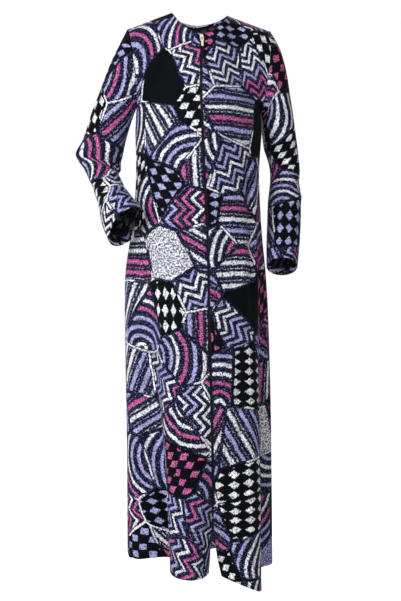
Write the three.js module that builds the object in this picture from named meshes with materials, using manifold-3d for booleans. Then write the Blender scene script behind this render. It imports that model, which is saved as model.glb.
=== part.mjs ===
// Zip-front abaya with long set-in sleeves, hollow and open as it hangs when worn.
// Millimetres, +Z up. The origin is midway between the two high shoulder points.
// The front faces -Y and the wearer's left side is +X.
import * as THREE from 'three';
import { mergeVertices } from 'three/addons/utils/BufferGeometryUtils.js';
import Module from 'manifold-3d';

const wasm = await Module();
wasm.setup();

// Driving sizes
const clothThickness = 1.5;
const seamGap = 0.3;
const hemHeight = -1420;
const underarmHeight = -250;
const zipEndHeight = -1283;
const frontEdgeHalfGap = 3.5;
const slitWidthAtHem = 28;
const slitCurve = 1.3;

const neckHalfWidth = 74;
const neckFrontDepth = 66;
const neckBackDepth = 48;
const neckFrontDrop = 66;
const neckBackDrop = 16;

const shoulderHalfWidth = 186;
const shoulderDrop = { right: 47, left: 36 };
const armholeHalfDepth = 56;

const frontColumns = 20;
const backHalfColumns = 16;
const neckColumnsFront = 8;
const neckColumnsBack = 6;
const slitRows = 3;
const frontSkirtRows = 18;
const backSkirtRows = 17;
const bodiceRows = 8;
const levelNames = ['hem', 'skirt', 'waist', 'bodice'];
const frontLevelRows = [9, 15, 21];
const backLevelRows = [9, 14, 20];
const sleeveColumns = 22;
const sleeveRowsPerStation = 2;
const easingPasses = 10;
const easedSkirtRows = 3;
const heldColumns = 5;

// Round body of the garment at the underarm and below it
const bodySections = table(
  ['z', 'centre', 'halfWidth', 'front', 'back'],
  [
    [-250, 0, 163, 122, 92],
    [-300, 0, 166, 132, 92],
    [-420, -3, 161, 128, 80],
    [-560, -5, 169, 139, 95],
    [-660, -8, 182, 148, 115],
    [-800, -5, 187, 155, 120],
    [-1100, 1, 187, 172, 135],
    [-1460, 3, 186, 192, 152],
  ],
);

// The centre front from the neck down: how far it drifts sideways, and its depth above the underarm
const centreFrontDrift = table(
  ['z', 'x'],
  [
    [-66, -4],
    [-250, -13],
    [-533, -2],
    [-816, 2],
    [-1188, 9],
    [-1460, 17],
  ],
);
const centreFrontDepth = table(
  ['z', 'y'],
  [
    [-60, -63],
    [-100, -81],
    [-150, -98],
    [-200, -112],
    [-250, -122],
  ],
);
const centreBackDepth = table(
  ['z', 'y'],
  [
    [-15, 50],
    [-50, 66],
    [-100, 84],
    [-150, 93],
    [-200, 95],
    [-250, 92],
  ],
);

// Folds that fall from the body: flutes stand out, valleys go in; angles run from the centre front
// towards the wearer's left, and the depth is the one at the hem
const folds = table(
  ['angle', 'depth', 'halfWidth', 'start', 'power'],
  [
    [-16, 14, 14, -500, 1],
    [-55, -92, 17, -500, 1],
    [-98, 3, 18, -500, 1],
    [5, -84, 11, -900, 3],
    [33, 16, 14, -500, 1],
    [64, -48, 13, -500, 0.9],
    [94, 8, 14, -500, 1],
    [128, -45, 12, -620, 1],
    [165, -30, 10, -560, 1],
    [-150, -50, 12, -600, 1],
    [-122, -25, 9, -640, 1],
  ],
);

// Where the hem dips below its level
const hemDips = table(
  ['angle', 'dip', 'halfWidth'],
  [
    [-15, -3, 25],
    [32, 42, 24],
    [88, 12, 30],
    [-93, -34, 9],
    [-64, -26, 22],
  ],
);

// Sleeves: at each station the outermost point, the innermost point and the half depth
const leftSleeve = table(
  ['outerX', 'outerY', 'outerZ', 'innerX', 'innerY', 'innerZ', 'halfDepth'],
  [
    [186, 0, -36, 163, 0, -250, 56],
    [210, 2, -80, 168, 3, -263, 57],
    [226, 6, -135, 172, 6, -282, 56],
    [238, 14, -200, 176, 10, -306, 54],
    [252, 22, -264, 182, 18, -334, 53],
    [268, 34, -341, 193, 28, -370, 52],
    [280, 41, -420, 200, 37, -422, 52],
    [279, 34, -480, 193, 32, -472, 51],
    [273, 12, -548, 186, 14, -532, 51],
    [263, -12, -610, 179, -10, -594, 50],
    [251, -36, -664, 174, -36, -648, 49],
  ],
);
const rightSleeve = table(
  ['outerX', 'outerY', 'outerZ', 'innerX', 'innerY', 'innerZ', 'halfDepth'],
  [
    [-186, 0, -47, -163, 0, -250, 56],
    [-211, 3, -98, -168, 3, -262, 57],
    [-233, 6, -152, -174, 6, -280, 56],
    [-256, 14, -214, -181, 10, -303, 53],
    [-281, 24, -278, -190, 15, -335, 51],
    [-300, 35, -332, -197, 15, -372, 50],
    [-316, 44, -366, -202, 8, -406, 50],
    [-301, 40, -398, -203, -6, -428, 49],
    [-277, 22, -438, -196, -34, -454, 48],
    [-264, -2, -482, -186, -66, -477, 47],
    [-252, -28, -527, -177, -98, -495, 46],
    [-239, -54, -572, -171, -118, -508, 45],
    [-226, -76, -608, -169, -128, -515, 45],
  ],
);

// Creases in a sleeve: the station and the turn round the sleeve where each lies (0 is its outer
// side, 90 its front, 180 its inner side)
const leftCreases = table(
  ['station', 'run', 'turn', 'spread', 'depth'],
  [
    [2.2, 0.55, 120, 45, -5],
    [5.3, 0.5, 160, 50, -4],
    [6.4, 0.45, 60, 60, -4],
    [8.2, 0.6, 110, 50, -4],
  ],
);
const rightCreases = table(
  ['station', 'run', 'turn', 'spread', 'depth'],
  [
    [2.5, 0.6, 120, 45, -5],
    [5.4, 0.35, 150, 50, -6],
    [6.6, 0.4, 165, 55, -9],
    [7.9, 0.35, 150, 50, -6],
    [9.6, 0.6, 40, 50, -4],
  ],
);

// Zip
const tapeWidth = 14;
const tapeThickness = 1;
const tapeClearance = 0.6;
const tapeHalfGapClosed = 0.5;
const tapeHalfGapOpen = 1.6;
const sliderHeight = -77;
const sliderPlate = { width: 9, length: 12, thickness: 1.2 };
const sliderBackPlate = { width: 8, length: 11, thickness: 1 };
const sliderPost = { width: 2, length: 2.5 };
const bridge = { width: 2.6, top: 3.6, bottom: -5.6, wall: 1.2, clearHeight: 2.6 };
const pullPivot = { up: -2.6, out: 2.75 };
const pullTab = { length: 30, eyeWidth: 9, tailWidth: 5.6, thickness: 1.4, barHeight: 1.6, corner: 1.5 };
const pullSlot = { width: 4, length: 7, corner: 1, wallBelow: 1.6 };
const pullTaper = { eyeEnd: 2, eyePull: -2, tailPull: -3, tailStart: -7 };
const topStop = { width: 1.5, length: 3, fromMiddle: 2.45, drop: 2.8 };
const bottomStop = { width: 5, length: 4, thickness: 1.2, rise: 6 };

// Finishes
const crepe = { color: 0x1b1a2b, roughness: 0.85, metalness: 0 };
const tapeCloth = { color: 0x0c0c10, roughness: 0.8, metalness: 0 };
const paleMetal = { color: 0xcfc7ad, roughness: 0.3, metalness: 1 };

// Helpers for tables and curves
function table(columns, rows) {
  return rows.map((row) => Object.fromEntries(columns.map((name, index) => [name, row[index]])));
}

function radians(degrees) {
  return THREE.MathUtils.degToRad(degrees);
}

function mix(from, to, share) {
  return from + (to - from) * share;
}

// The value of a column at a place along a key column, on a smooth curve through the rows
function along(rows, key, name, place) {
  const last = rows.length - 1;
  const direction = Math.sign(rows[last][key] - rows[0][key]);
  let index = 0;
  while (index < last - 1 && (place - rows[index + 1][key]) * direction > 0) {
    index += 1;
  }
  const slopeAt = (row) => {
    const before = rows[Math.max(row - 1, 0)];
    const after = rows[Math.min(row + 1, last)];
    return (after[name] - before[name]) / (after[key] - before[key]);
  };
  const start = rows[index];
  const end = rows[index + 1];
  const span = end[key] - start[key];
  const f = THREE.MathUtils.clamp((place - start[key]) / span, 0, 1);
  const easeIn = f * f * (3 - 2 * f);
  const startPull = f * (1 - f) * (1 - f) * span * slopeAt(index);
  const endPull = f * f * (1 - f) * span * slopeAt(index + 1);
  return mix(start[name], end[name], easeIn) + startPull - endPull;
}

// A bump that is 1 at the middle and fades out over its half width
function bump(distance, halfWidth) {
  return Math.exp(-((distance / halfWidth) ** 2));
}

function turnBetween(a, b) {
  return THREE.MathUtils.euclideanModulo(a - b + 180, 360) - 180;
}

// The body below the underarm
function foldDepth(angle, z) {
  let depth = 0;
  for (const fold of folds) {
    const fall = Math.max(0, (fold.start - z) / (fold.start - hemHeight));
    depth += fold.depth * fall ** fold.power * bump(turnBetween(angle, fold.angle), fold.halfWidth);
  }
  return depth;
}

function bodyPoint(angle, z) {
  const turn = radians(angle);
  const centre = along(bodySections, 'z', 'centre', z);
  const halfWidth = along(bodySections, 'z', 'halfWidth', z);
  const facing = Math.cos(turn) > 0 ? 'front' : 'back';
  const depth = along(bodySections, 'z', facing, z);
  const outward = new THREE.Vector3(Math.sin(turn) / halfWidth, -Math.cos(turn) / depth, 0);
  const point = new THREE.Vector3(centre + halfWidth * Math.sin(turn), -depth * Math.cos(turn), z);
  return point.addScaledVector(outward.normalize(), foldDepth(angle, z));
}

function hemAt(angle) {
  let height = hemHeight;
  for (const dip of hemDips) {
    height -= dip.dip * bump(turnBetween(angle, dip.angle), dip.halfWidth);
  }
  return height;
}

// Half the gap between the two front edges; the left edge swings away below the zip
function frontEdgeGap(sign, z) {
  const below = Math.max(0, (zipEndHeight - z) / (zipEndHeight - hemHeight));
  const swing = sign > 0 ? (slitWidthAtHem - frontEdgeHalfGap) * below ** slitCurve : 0;
  return frontEdgeHalfGap + swing;
}

function frontEdgeX(sign, z) {
  return along(centreFrontDrift, 'z', 'x', z) + sign * frontEdgeGap(sign, z);
}

// The neck, shoulder and armhole lines of one side; sign is -1 for the right and 1 for the left
function sideName(sign) {
  return sign < 0 ? 'right' : 'left';
}

function neckPoint(sign, facing, share) {
  const turn = radians(90 * share);
  const sine = Math.sin(turn);
  const cosine = Math.cos(turn);
  if (facing > 0) {
    return new THREE.Vector3(
      sign * neckHalfWidth * sine,
      neckBackDepth * cosine + seamGap / 2,
      -neckBackDrop * cosine * cosine,
    );
  }
  const edge = frontEdgeX(sign, -neckFrontDrop);
  return new THREE.Vector3(
    mix(sign * neckHalfWidth * sine, edge + sign * neckHalfWidth * sine, cosine),
    -neckFrontDepth * cosine - seamGap / 2,
    -neckFrontDrop * cosine * cosine,
  );
}

function shoulderPoint(sign, facing, share) {
  return new THREE.Vector3(
    sign * mix(neckHalfWidth, shoulderHalfWidth, share),
    (facing * seamGap) / 2,
    -shoulderDrop[sideName(sign)] * share,
  );
}

function armholeFrame(sign) {
  const tip = new THREE.Vector3(sign * shoulderHalfWidth, 0, -shoulderDrop[sideName(sign)]);
  const underarm = new THREE.Vector3(sign * bodySections[0].halfWidth, 0, underarmHeight);
  const centre = tip.clone().add(underarm).multiplyScalar(0.5);
  const half = tip.clone().sub(centre);
  const outward = new THREE.Vector3(half.z, 0, -half.x).normalize();
  if (outward.x * sign < 0) {
    outward.negate();
  }
  return { centre, half, outward };
}

function armholePoint(sign, facing, turnDegrees) {
  const { centre, half } = armholeFrame(sign);
  const turn = radians(turnDegrees);
  const point = centre.clone().addScaledVector(half, Math.cos(turn));
  point.y = facing * (armholeHalfDepth * Math.sin(turn) + seamGap / 2);
  return point;
}

// Places along the armhole from the underarm to the shoulder tip, closer together at the underarm
function armholeTurn(share) {
  return 180 * (1 - 0.35 * share - 0.65 * share * share);
}

// A smooth patch between four border curves
function patchPoint(u, v, bottom, top, left, right) {
  const nearLeft = 1 - 3 * u * u + 2 * u * u * u;
  const nearRight = 1 - nearLeft;
  const between = (low, high, share) => low.clone().lerp(high, share);
  const point = between(bottom(u), top(u), v);
  const leftPull = left(v).sub(between(bottom(0), top(0), v));
  const rightPull = right(v).sub(between(bottom(1), top(1), v));
  return point.addScaledVector(leftPull, nearLeft).addScaledVector(rightPull, nearRight);
}

// One side of the bodice above the underarm, from the centre line (u = 0) to the armhole (u = 1)
function bodicePoint(sign, facing, u, v, neckShare) {
  const bottom = (share) => skirtPoint(sign, facing, share, underarmHeight);
  const top = (share) => {
    if (share < neckShare) {
      return neckPoint(sign, facing, share / neckShare);
    }
    return shoulderPoint(sign, facing, (share - neckShare) / (1 - neckShare));
  };
  const topCentre = top(0);
  const centreLine = (share) => {
    const z = mix(underarmHeight, topCentre.z, share);
    if (facing > 0) {
      return new THREE.Vector3(0, along(centreBackDepth, 'z', 'y', z), z).lerp(topCentre, share ** 6);
    }
    return new THREE.Vector3(frontEdgeX(sign, z), along(centreFrontDepth, 'z', 'y', z), z)
      .lerp(topCentre, share ** 6);
  };
  const armhole = (share) => armholePoint(sign, facing, armholeTurn(share));
  return patchPoint(u, v, bottom, top, centreLine, armhole);
}

// A point of the body below the underarm: u runs from the centre line to the side seam
function skirtPoint(sign, facing, u, z) {
  if (facing > 0) {
    const point = bodyPoint(sign * mix(180, 90, u), z);
    point.y += u === 1 ? seamGap / 2 : 0;
    return point;
  }
  const centre = along(bodySections, 'z', 'centre', z);
  const halfWidth = along(bodySections, 'z', 'halfWidth', z);
  const edgeAngle = THREE.MathUtils.radToDeg(Math.asin((frontEdgeX(sign, z) - centre) / halfWidth));
  const point = bodyPoint(mix(edgeAngle, sign * 90, u), z);
  point.y -= u === 1 ? seamGap / 2 : 0;
  return point;
}

// Rows of a panel from the hem up to the neck and shoulder
function panelColumn(sign, facing, u, neckShare, skirtRows) {
  const column = [];
  const hem = hemAt(facing > 0 ? sign * mix(180, 90, u) : sign * 90 * u);
  for (let row = 0; row < slitRows; row += 1) {
    column.push(skirtPoint(sign, facing, u, mix(hem, zipEndHeight, row / slitRows)));
  }
  for (let row = 0; row < skirtRows; row += 1) {
    column.push(skirtPoint(sign, facing, u, mix(zipEndHeight, underarmHeight, row / skirtRows)));
  }
  for (let row = 0; row <= bodiceRows; row += 1) {
    column.push(bodicePoint(sign, facing, u, row / bodiceRows, neckShare));
  }
  return column;
}

// Columns become rows of points, grid[row][column], with the bodice eased along its rows, so that the
// corner where the neck meets the shoulder fades out below it; columns near a front edge keep their
// places, so that the two fronts stay in one surface across the zip
function panelGrid(columns, edgeColumn) {
  const grid = columns[0].map((_, row) => columns.map((column) => column[row]));
  const top = grid.length - 1;
  const underarm = top - bodiceRows;
  for (let pass = 0; pass < easingPasses; pass += 1) {
    for (let row = underarm - easedSkirtRows; row < top; row += 1) {
      const below = Math.min(1, (row - underarm + easedSkirtRows + 1) / easedSkirtRows);
      const strength = 0.5 * below * Math.min(1, (1.5 * (top - row)) / bodiceRows);
      const before = grid[row].map((point) => point.clone());
      for (let column = 1; column < before.length - 1; column += 1) {
        const middle = before[column - 1].clone().add(before[column + 1]).multiplyScalar(0.5);
        const fromEdge = Math.min(1, (Math.abs(column - edgeColumn) - 1) / heldColumns);
        grid[row][column].lerp(middle, strength * fromEdge);
      }
    }
  }
  return grid;
}

function frontGrid(sign) {
  const columns = [];
  for (let index = 0; index <= frontColumns; index += 1) {
    const u = index / frontColumns;
    columns.push(panelColumn(sign, -1, u, neckColumnsFront / frontColumns, frontSkirtRows));
  }
  if (sign < 0) {
    columns.reverse();
  }
  return panelGrid(columns, sign < 0 ? frontColumns : 0);
}

function backGrid() {
  const neckShare = neckColumnsBack / backHalfColumns;
  const columns = [];
  for (let index = -backHalfColumns; index <= backHalfColumns; index += 1) {
    const sign = index <= 0 ? 1 : -1;
    columns.push(panelColumn(sign, 1, Math.abs(index) / backHalfColumns, neckShare, backSkirtRows));
  }
  return panelGrid(columns, Infinity);
}

// Outward normals of a grid; the columns run round it and the rows along it
function gridNormals(grid, closed) {
  const lastRow = grid.length - 1;
  const count = grid[0].length;
  return grid.map((points, row) => points.map((_, column) => {
    const before = closed ? (column + count - 1) % count : Math.max(column - 1, 0);
    const after = closed ? (column + 1) % count : Math.min(column + 1, count - 1);
    const across = points[after].clone().sub(points[before]);
    const up = grid[Math.min(row + 1, lastRow)][column].clone().sub(grid[Math.max(row - 1, 0)][column]);
    return across.cross(up).normalize();
  }));
}

// Normals that both panels of a seam share, so that their cut edges face each other
function sideSeamNormal(sign, z) {
  const step = 0.5;
  const around = bodyPoint(sign * 90 + step, z).sub(bodyPoint(sign * 90 - step, z));
  const up = bodyPoint(sign * 90, z + step).sub(bodyPoint(sign * 90, z - step));
  return around.cross(up).normalize();
}

function shoulderNormal(sign) {
  const run = shoulderPoint(sign, 0, 1).sub(shoulderPoint(sign, 0, 0));
  const normal = new THREE.Vector3(-run.z, 0, run.x);
  return normal.z < 0 ? normal.negate().normalize() : normal.normalize();
}

// Panel normals with the shared ones put in at the side and shoulder seams
function panelNormals(grid, sides, skirtRowCount) {
  const normals = gridNormals(grid, false);
  const top = grid.length - 1;
  for (const { sign, column, towardsCentre, shoulderColumns } of sides) {
    for (let row = 0; row <= skirtRowCount; row += 1) {
      normals[row][column] = sideSeamNormal(sign, grid[row][column].z);
    }
    for (let step = 0; step <= shoulderColumns; step += 1) {
      normals[top][column + towardsCentre * step] = shoulderNormal(sign);
    }
    const { outward } = armholeFrame(sign);
    for (let row = skirtRowCount + 1; row <= top; row += 1) {
      const lean = Math.min(0, normals[row][column].dot(outward));
      normals[row][column].addScaledVector(outward, -lean).normalize();
    }
  }
  return normals;
}

// A wall of cloth: the grid's points are its outer face, and its inner face lies one thickness in
function wallGeometry(grid, normals, thickness, closed) {
  const rowCount = grid.length;
  const count = grid[0].length;
  const positions = [];
  for (const depth of [0, thickness]) {
    grid.forEach((points, row) => points.forEach((point, column) => {
      const placed = point.clone().addScaledVector(normals[row][column], -depth);
      positions.push(placed.x, placed.y, placed.z);
    }));
  }
  const outer = (row, column) => row * count + (column % count);
  const inner = (row, column) => rowCount * count + outer(row, column);
  const triangles = [];
  const quad = (a, b, c, d) => triangles.push(a, b, c, a, c, d);
  const cells = closed ? count : count - 1;
  for (let row = 0; row < rowCount - 1; row += 1) {
    for (let column = 0; column < cells; column += 1) {
      const next = column + 1;
      quad(outer(row, column), outer(row, next), outer(row + 1, next), outer(row + 1, column));
      quad(inner(row, column), inner(row + 1, column), inner(row + 1, next), inner(row, next));
    }
    if (!closed) {
      const end = count - 1;
      quad(outer(row, end), inner(row, end), inner(row + 1, end), outer(row + 1, end));
      quad(outer(row, 0), outer(row + 1, 0), inner(row + 1, 0), inner(row, 0));
    }
  }
  const last = rowCount - 1;
  for (let column = 0; column < cells; column += 1) {
    const next = column + 1;
    quad(outer(last, column), outer(last, next), inner(last, next), inner(last, column));
    quad(outer(0, column), inner(0, column), inner(0, next), outer(0, next));
  }
  const geometry = new THREE.BufferGeometry();
  geometry.setAttribute('position', new THREE.Float32BufferAttribute(positions, 3));
  geometry.setIndex(triangles);
  geometry.computeVertexNormals();
  return geometry;
}

// Half a seam gap off the end row of a level part
function drawBack(endRow, nextRow) {
  endRow.forEach((point, column) => {
    const next = nextRow[column];
    point.lerp(next, seamGap / 2 / point.distanceTo(next));
  });
}

function namedMesh(name, geometry, finish) {
  const mesh = new THREE.Mesh(geometry, new THREE.MeshStandardMaterial(finish));
  mesh.name = name;
  return mesh;
}

// A long panel is one cut of cloth from hem to shoulder. It is held as four level parts, a seam gap
// apart, so that each one is a simple curved wall; there is no seam between them on the robe.
function levelParts(name, grid, normals, levelRows) {
  const edges = [0, ...levelRows, grid.length - 1];
  return levelNames.map((level, index) => {
    const low = edges[index];
    const high = edges[index + 1];
    const rows = grid.slice(low, high + 1).map((points) => points.map((point) => point.clone()));
    if (low > 0) {
      drawBack(rows[0], rows[1]);
    }
    if (high < grid.length - 1) {
      drawBack(rows[rows.length - 1], rows[rows.length - 2]);
    }
    const wall = wallGeometry(rows, normals.slice(low, high + 1), clothThickness, false);
    return namedMesh(`${name}_${level}`, wall, crepe);
  });
}

// Front panels
function frontPanel(sign, grid) {
  const skirtRowCount = slitRows + frontSkirtRows;
  const side = {
    sign,
    column: sign < 0 ? 0 : frontColumns,
    towardsCentre: -sign,
    shoulderColumns: frontColumns - neckColumnsFront,
  };
  const normals = panelNormals(grid, [side], skirtRowCount);
  return { parts: levelParts(`front_${sideName(sign)}`, grid, normals, frontLevelRows), normals };
}

// Back panel
function backPanel() {
  const shoulderColumns = backHalfColumns - neckColumnsBack;
  const sides = [
    { sign: 1, column: 0, towardsCentre: 1, shoulderColumns },
    { sign: -1, column: 2 * backHalfColumns, towardsCentre: -1, shoulderColumns },
  ];
  const grid = backGrid();
  const normals = panelNormals(grid, sides, slitRows + backSkirtRows);
  return levelParts('back', grid, normals, backLevelRows);
}

// Sleeves
function stationPoint(stations, part, place) {
  const numbered = stations.map((station, index) => ({ ...station, index }));
  const column = (axis) => along(numbered, 'index', part + axis, place);
  return new THREE.Vector3(column('X'), column('Y'), column('Z'));
}

function sleeveCentre(stations, place) {
  return stationPoint(stations, 'outer', place).lerp(stationPoint(stations, 'inner', place), 0.5);
}

function creaseDepth(creases, place, turn) {
  let depth = 0;
  for (const crease of creases) {
    const across = bump(place - crease.station, crease.run);
    depth += crease.depth * across * bump(turnBetween(turn, crease.turn), crease.spread);
  }
  return depth;
}

function sleeveRing(sign, stations, creases, place) {
  const step = 0.25;
  const last = stations.length - 1;
  const centre = sleeveCentre(stations, place);
  const half = stationPoint(stations, 'outer', place).sub(centre);
  const run = sleeveCentre(stations, Math.min(place + step, last))
    .sub(sleeveCentre(stations, Math.max(place - step, 0)));
  const forward = run.cross(half).multiplyScalar(sign).normalize();
  const easeOut = Math.min(place, 1);
  forward.lerp(new THREE.Vector3(0, -1, 0), (1 - easeOut) ** 2).normalize();
  const numbered = stations.map((station, index) => ({ ...station, index }));
  const halfDepth = along(numbered, 'index', 'halfDepth', place);
  const ring = [];
  for (let column = 0; column < sleeveColumns; column += 1) {
    const turn = (360 * column) / sleeveColumns;
    const outward = new THREE.Vector3()
      .addScaledVector(half, Math.cos(radians(turn)) / half.length())
      .addScaledVector(forward, Math.sin(radians(turn)));
    const reach = creaseDepth(creases, place, turn) * easeOut;
    ring.push(centre.clone()
      .addScaledVector(half, Math.cos(radians(turn)))
      .addScaledVector(forward, halfDepth * Math.sin(radians(turn)))
      .addScaledVector(outward, reach));
  }
  return ring;
}

function sleeve(sign, stations, creases) {
  const { outward } = armholeFrame(sign);
  const rowCount = (stations.length - 1) * sleeveRowsPerStation;
  const grid = [];
  for (let row = 0; row <= rowCount; row += 1) {
    const ring = sleeveRing(sign, stations, creases, row / sleeveRowsPerStation);
    if (sign < 0) {
      ring.reverse();
    }
    grid.push(ring);
  }
  grid[0].forEach((point) => point.addScaledVector(outward, seamGap));
  const normals = gridNormals(grid, true);
  normals[0] = normals[0].map((normal) => {
    return normal.addScaledVector(outward, -normal.dot(outward)).normalize();
  });
  const geometry = wallGeometry(grid, normals, clothThickness, true);
  return namedMesh(`sleeve_${sideName(sign)}`, geometry, crepe);
}

// Zip tapes: they lie behind the front edges and follow the first cells of the panels
function zipTape(sign, grid, normals) {
  const edge = sign < 0 ? frontColumns : 0;
  const beside = sign < 0 ? frontColumns - 1 : 1;
  const depth = clothThickness + tapeClearance;
  const tapeRows = [];
  const tapeNormals = [];
  for (let row = slitRows; row < grid.length; row += 1) {
    const start = grid[row][edge];
    const cell = grid[row][beside].clone().sub(start);
    const halfGap = start.z > sliderHeight - sliderPlate.length ? tapeHalfGapOpen : tapeHalfGapClosed;
    const reaches = [halfGap - frontEdgeHalfGap, 0, tapeWidth - frontEdgeHalfGap];
    const facing = reaches.map((reach) => {
      const share = Math.max(0, reach / cell.length());
      return normals[row][edge].clone().lerp(normals[row][beside], share);
    });
    const points = reaches.map((reach, index) => {
      return start.clone().addScaledVector(cell, reach / cell.length()).addScaledVector(facing[index], -depth);
    });
    if (sign < 0) {
      points.reverse();
      facing.reverse();
    }
    tapeRows.push(points);
    tapeNormals.push(facing);
  }
  const geometry = wallGeometry(tapeRows, tapeNormals, tapeThickness, false);
  return namedMesh(`zip_tape_${sideName(sign)}`, geometry, tapeCloth);
}

// Metal pieces are drawn in the frame of the closed zip: X across it, Z up along it, -Y out of it
function asManifold(geometry) {
  const bare = geometry.clone();
  bare.deleteAttribute('normal');
  bare.deleteAttribute('uv');
  const merged = mergeVertices(bare, 1e-4);
  return new wasm.Manifold(new wasm.Mesh({
    numProp: 3,
    vertProperties: new Float32Array(merged.attributes.position.array),
    triVerts: new Uint32Array(merged.index.array),
  }));
}

function fromManifold(solid) {
  const { vertProperties, triVerts } = solid.getMesh();
  const geometry = new THREE.BufferGeometry();
  geometry.setAttribute('position', new THREE.BufferAttribute(new Float32Array(vertProperties), 3));
  geometry.setIndex(Array.from(triVerts));
  geometry.computeVertexNormals();
  return geometry;
}

// A block from low to high distances out of the cloth, placed across and up
function block(width, lowUp, highUp, lowOut, highOut) {
  const geometry = new THREE.BoxGeometry(width, highOut - lowOut, highUp - lowUp);
  return geometry.translate(0, -(lowOut + highOut) / 2, (lowUp + highUp) / 2);
}

// A flat plate cut from an outline drawn across and up, from low to high distances out of the cloth
function plate(outline, lowOut, highOut) {
  const settings = { depth: highOut - lowOut, bevelEnabled: false, curveSegments: 8 };
  const geometry = new THREE.ExtrudeGeometry(outline, settings);
  return geometry.rotateX(Math.PI / 2).translate(0, -lowOut, 0);
}

function roundedOutline(width, length, radius) {
  const outline = new THREE.Shape();
  const x = width / 2;
  const y = length / 2;
  outline.moveTo(-x + radius, -y);
  outline.lineTo(x - radius, -y);
  outline.absarc(x - radius, -y + radius, radius, -Math.PI / 2, 0);
  outline.lineTo(x, y - radius);
  outline.absarc(x - radius, y - radius, radius, 0, Math.PI / 2);
  outline.lineTo(-x + radius, y);
  outline.absarc(-x + radius, y - radius, radius, Math.PI / 2, Math.PI);
  outline.lineTo(-x, -y + radius);
  outline.absarc(-x + radius, -y + radius, radius, Math.PI, Math.PI * 1.5);
  return outline;
}

function sliderGeometry() {
  const front = seamGap;
  const face = front + sliderPlate.thickness;
  const behind = -(clothThickness + tapeClearance + tapeThickness + seamGap);
  const bridgeTop = face + bridge.clearHeight + bridge.wall;
  const overlap = 0.3;
  const cornerRadius = 2.2;
  const pieces = [
    plate(roundedOutline(sliderPlate.width, sliderPlate.length, cornerRadius), front, face),
    plate(
      roundedOutline(sliderBackPlate.width, sliderBackPlate.length, cornerRadius),
      behind - sliderBackPlate.thickness,
      behind,
    ),
    block(
      sliderPost.width,
      sliderPlate.length / 2 - sliderPost.length,
      sliderPlate.length / 2 - overlap,
      behind - overlap,
      front + overlap,
    ),
    block(bridge.width, bridge.top - bridge.wall, bridge.top, face - overlap, bridgeTop),
    block(bridge.width, bridge.bottom, bridge.bottom + bridge.wall, face - overlap, bridgeTop),
    block(bridge.width, bridge.bottom, bridge.top, bridgeTop - bridge.wall, bridgeTop),
  ];
  return fromManifold(pieces.map(asManifold).reduce((joined, piece) => joined.add(piece)));
}

// The pull tab hangs from the bar at the top of its slot
function pullTabGeometry() {
  const outline = new THREE.Shape();
  const top = pullTab.barHeight / 2;
  const eye = pullTab.eyeWidth / 2;
  const tail = pullTab.tailWidth / 2;
  const shoulder = top - pullTab.barHeight - pullSlot.length - pullSlot.wallBelow;
  const eyeEnd = shoulder + pullTaper.eyeEnd;
  const eyePull = shoulder + pullTaper.eyePull;
  const tailPull = shoulder + pullTaper.tailPull;
  const tailStart = shoulder + pullTaper.tailStart;
  const bottom = top - pullTab.length;
  outline.moveTo(-eye + pullTab.corner, top);
  outline.lineTo(eye - pullTab.corner, top);
  outline.quadraticCurveTo(eye, top, eye, top - pullTab.corner);
  outline.lineTo(eye, eyeEnd);
  outline.bezierCurveTo(eye, eyePull, tail, tailPull, tail, tailStart);
  outline.lineTo(tail, bottom + tail);
  outline.absarc(0, bottom + tail, tail, 0, -Math.PI, true);
  outline.lineTo(-tail, tailStart);
  outline.bezierCurveTo(-tail, tailPull, -eye, eyePull, -eye, eyeEnd);
  outline.lineTo(-eye, top - pullTab.corner);
  outline.quadraticCurveTo(-eye, top, -eye + pullTab.corner, top);
  const slot = new THREE.Path();
  const slotTop = top - pullTab.barHeight;
  const slotEnd = slotTop - pullSlot.length;
  const slotHalf = pullSlot.width / 2;
  slot.moveTo(-slotHalf, slotTop);
  slot.lineTo(-slotHalf, slotEnd + pullSlot.corner);
  slot.quadraticCurveTo(-slotHalf, slotEnd, -slotHalf + pullSlot.corner, slotEnd);
  slot.lineTo(slotHalf - pullSlot.corner, slotEnd);
  slot.quadraticCurveTo(slotHalf, slotEnd, slotHalf, slotEnd + pullSlot.corner);
  slot.lineTo(slotHalf, slotTop);
  slot.closePath();
  outline.holes.push(slot);
  return plate(outline, pullPivot.out - pullTab.thickness / 2, pullPivot.out + pullTab.thickness / 2)
    .translate(0, 0, pullPivot.up);
}

// The middle of the closed zip at a height, on the outer face of the cloth
function zipEdge(sign, z) {
  if (z < underarmHeight) {
    return skirtPoint(sign, -1, 0, z);
  }
  return new THREE.Vector3(frontEdgeX(sign, z), along(centreFrontDepth, 'z', 'y', z), z);
}

function zipFrame(z) {
  const step = 3;
  const middleAt = (height) => zipEdge(-1, height).lerp(zipEdge(1, height), 0.5);
  const across = zipEdge(1, z).sub(zipEdge(-1, z)).normalize();
  const up = middleAt(z + step).sub(middleAt(z - step));
  const inward = up.cross(across).normalize();
  const upward = across.clone().cross(inward);
  const frame = new THREE.Group();
  frame.quaternion.setFromRotationMatrix(new THREE.Matrix4().makeBasis(across, inward, upward));
  frame.position.copy(middleAt(z));
  return frame;
}

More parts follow.
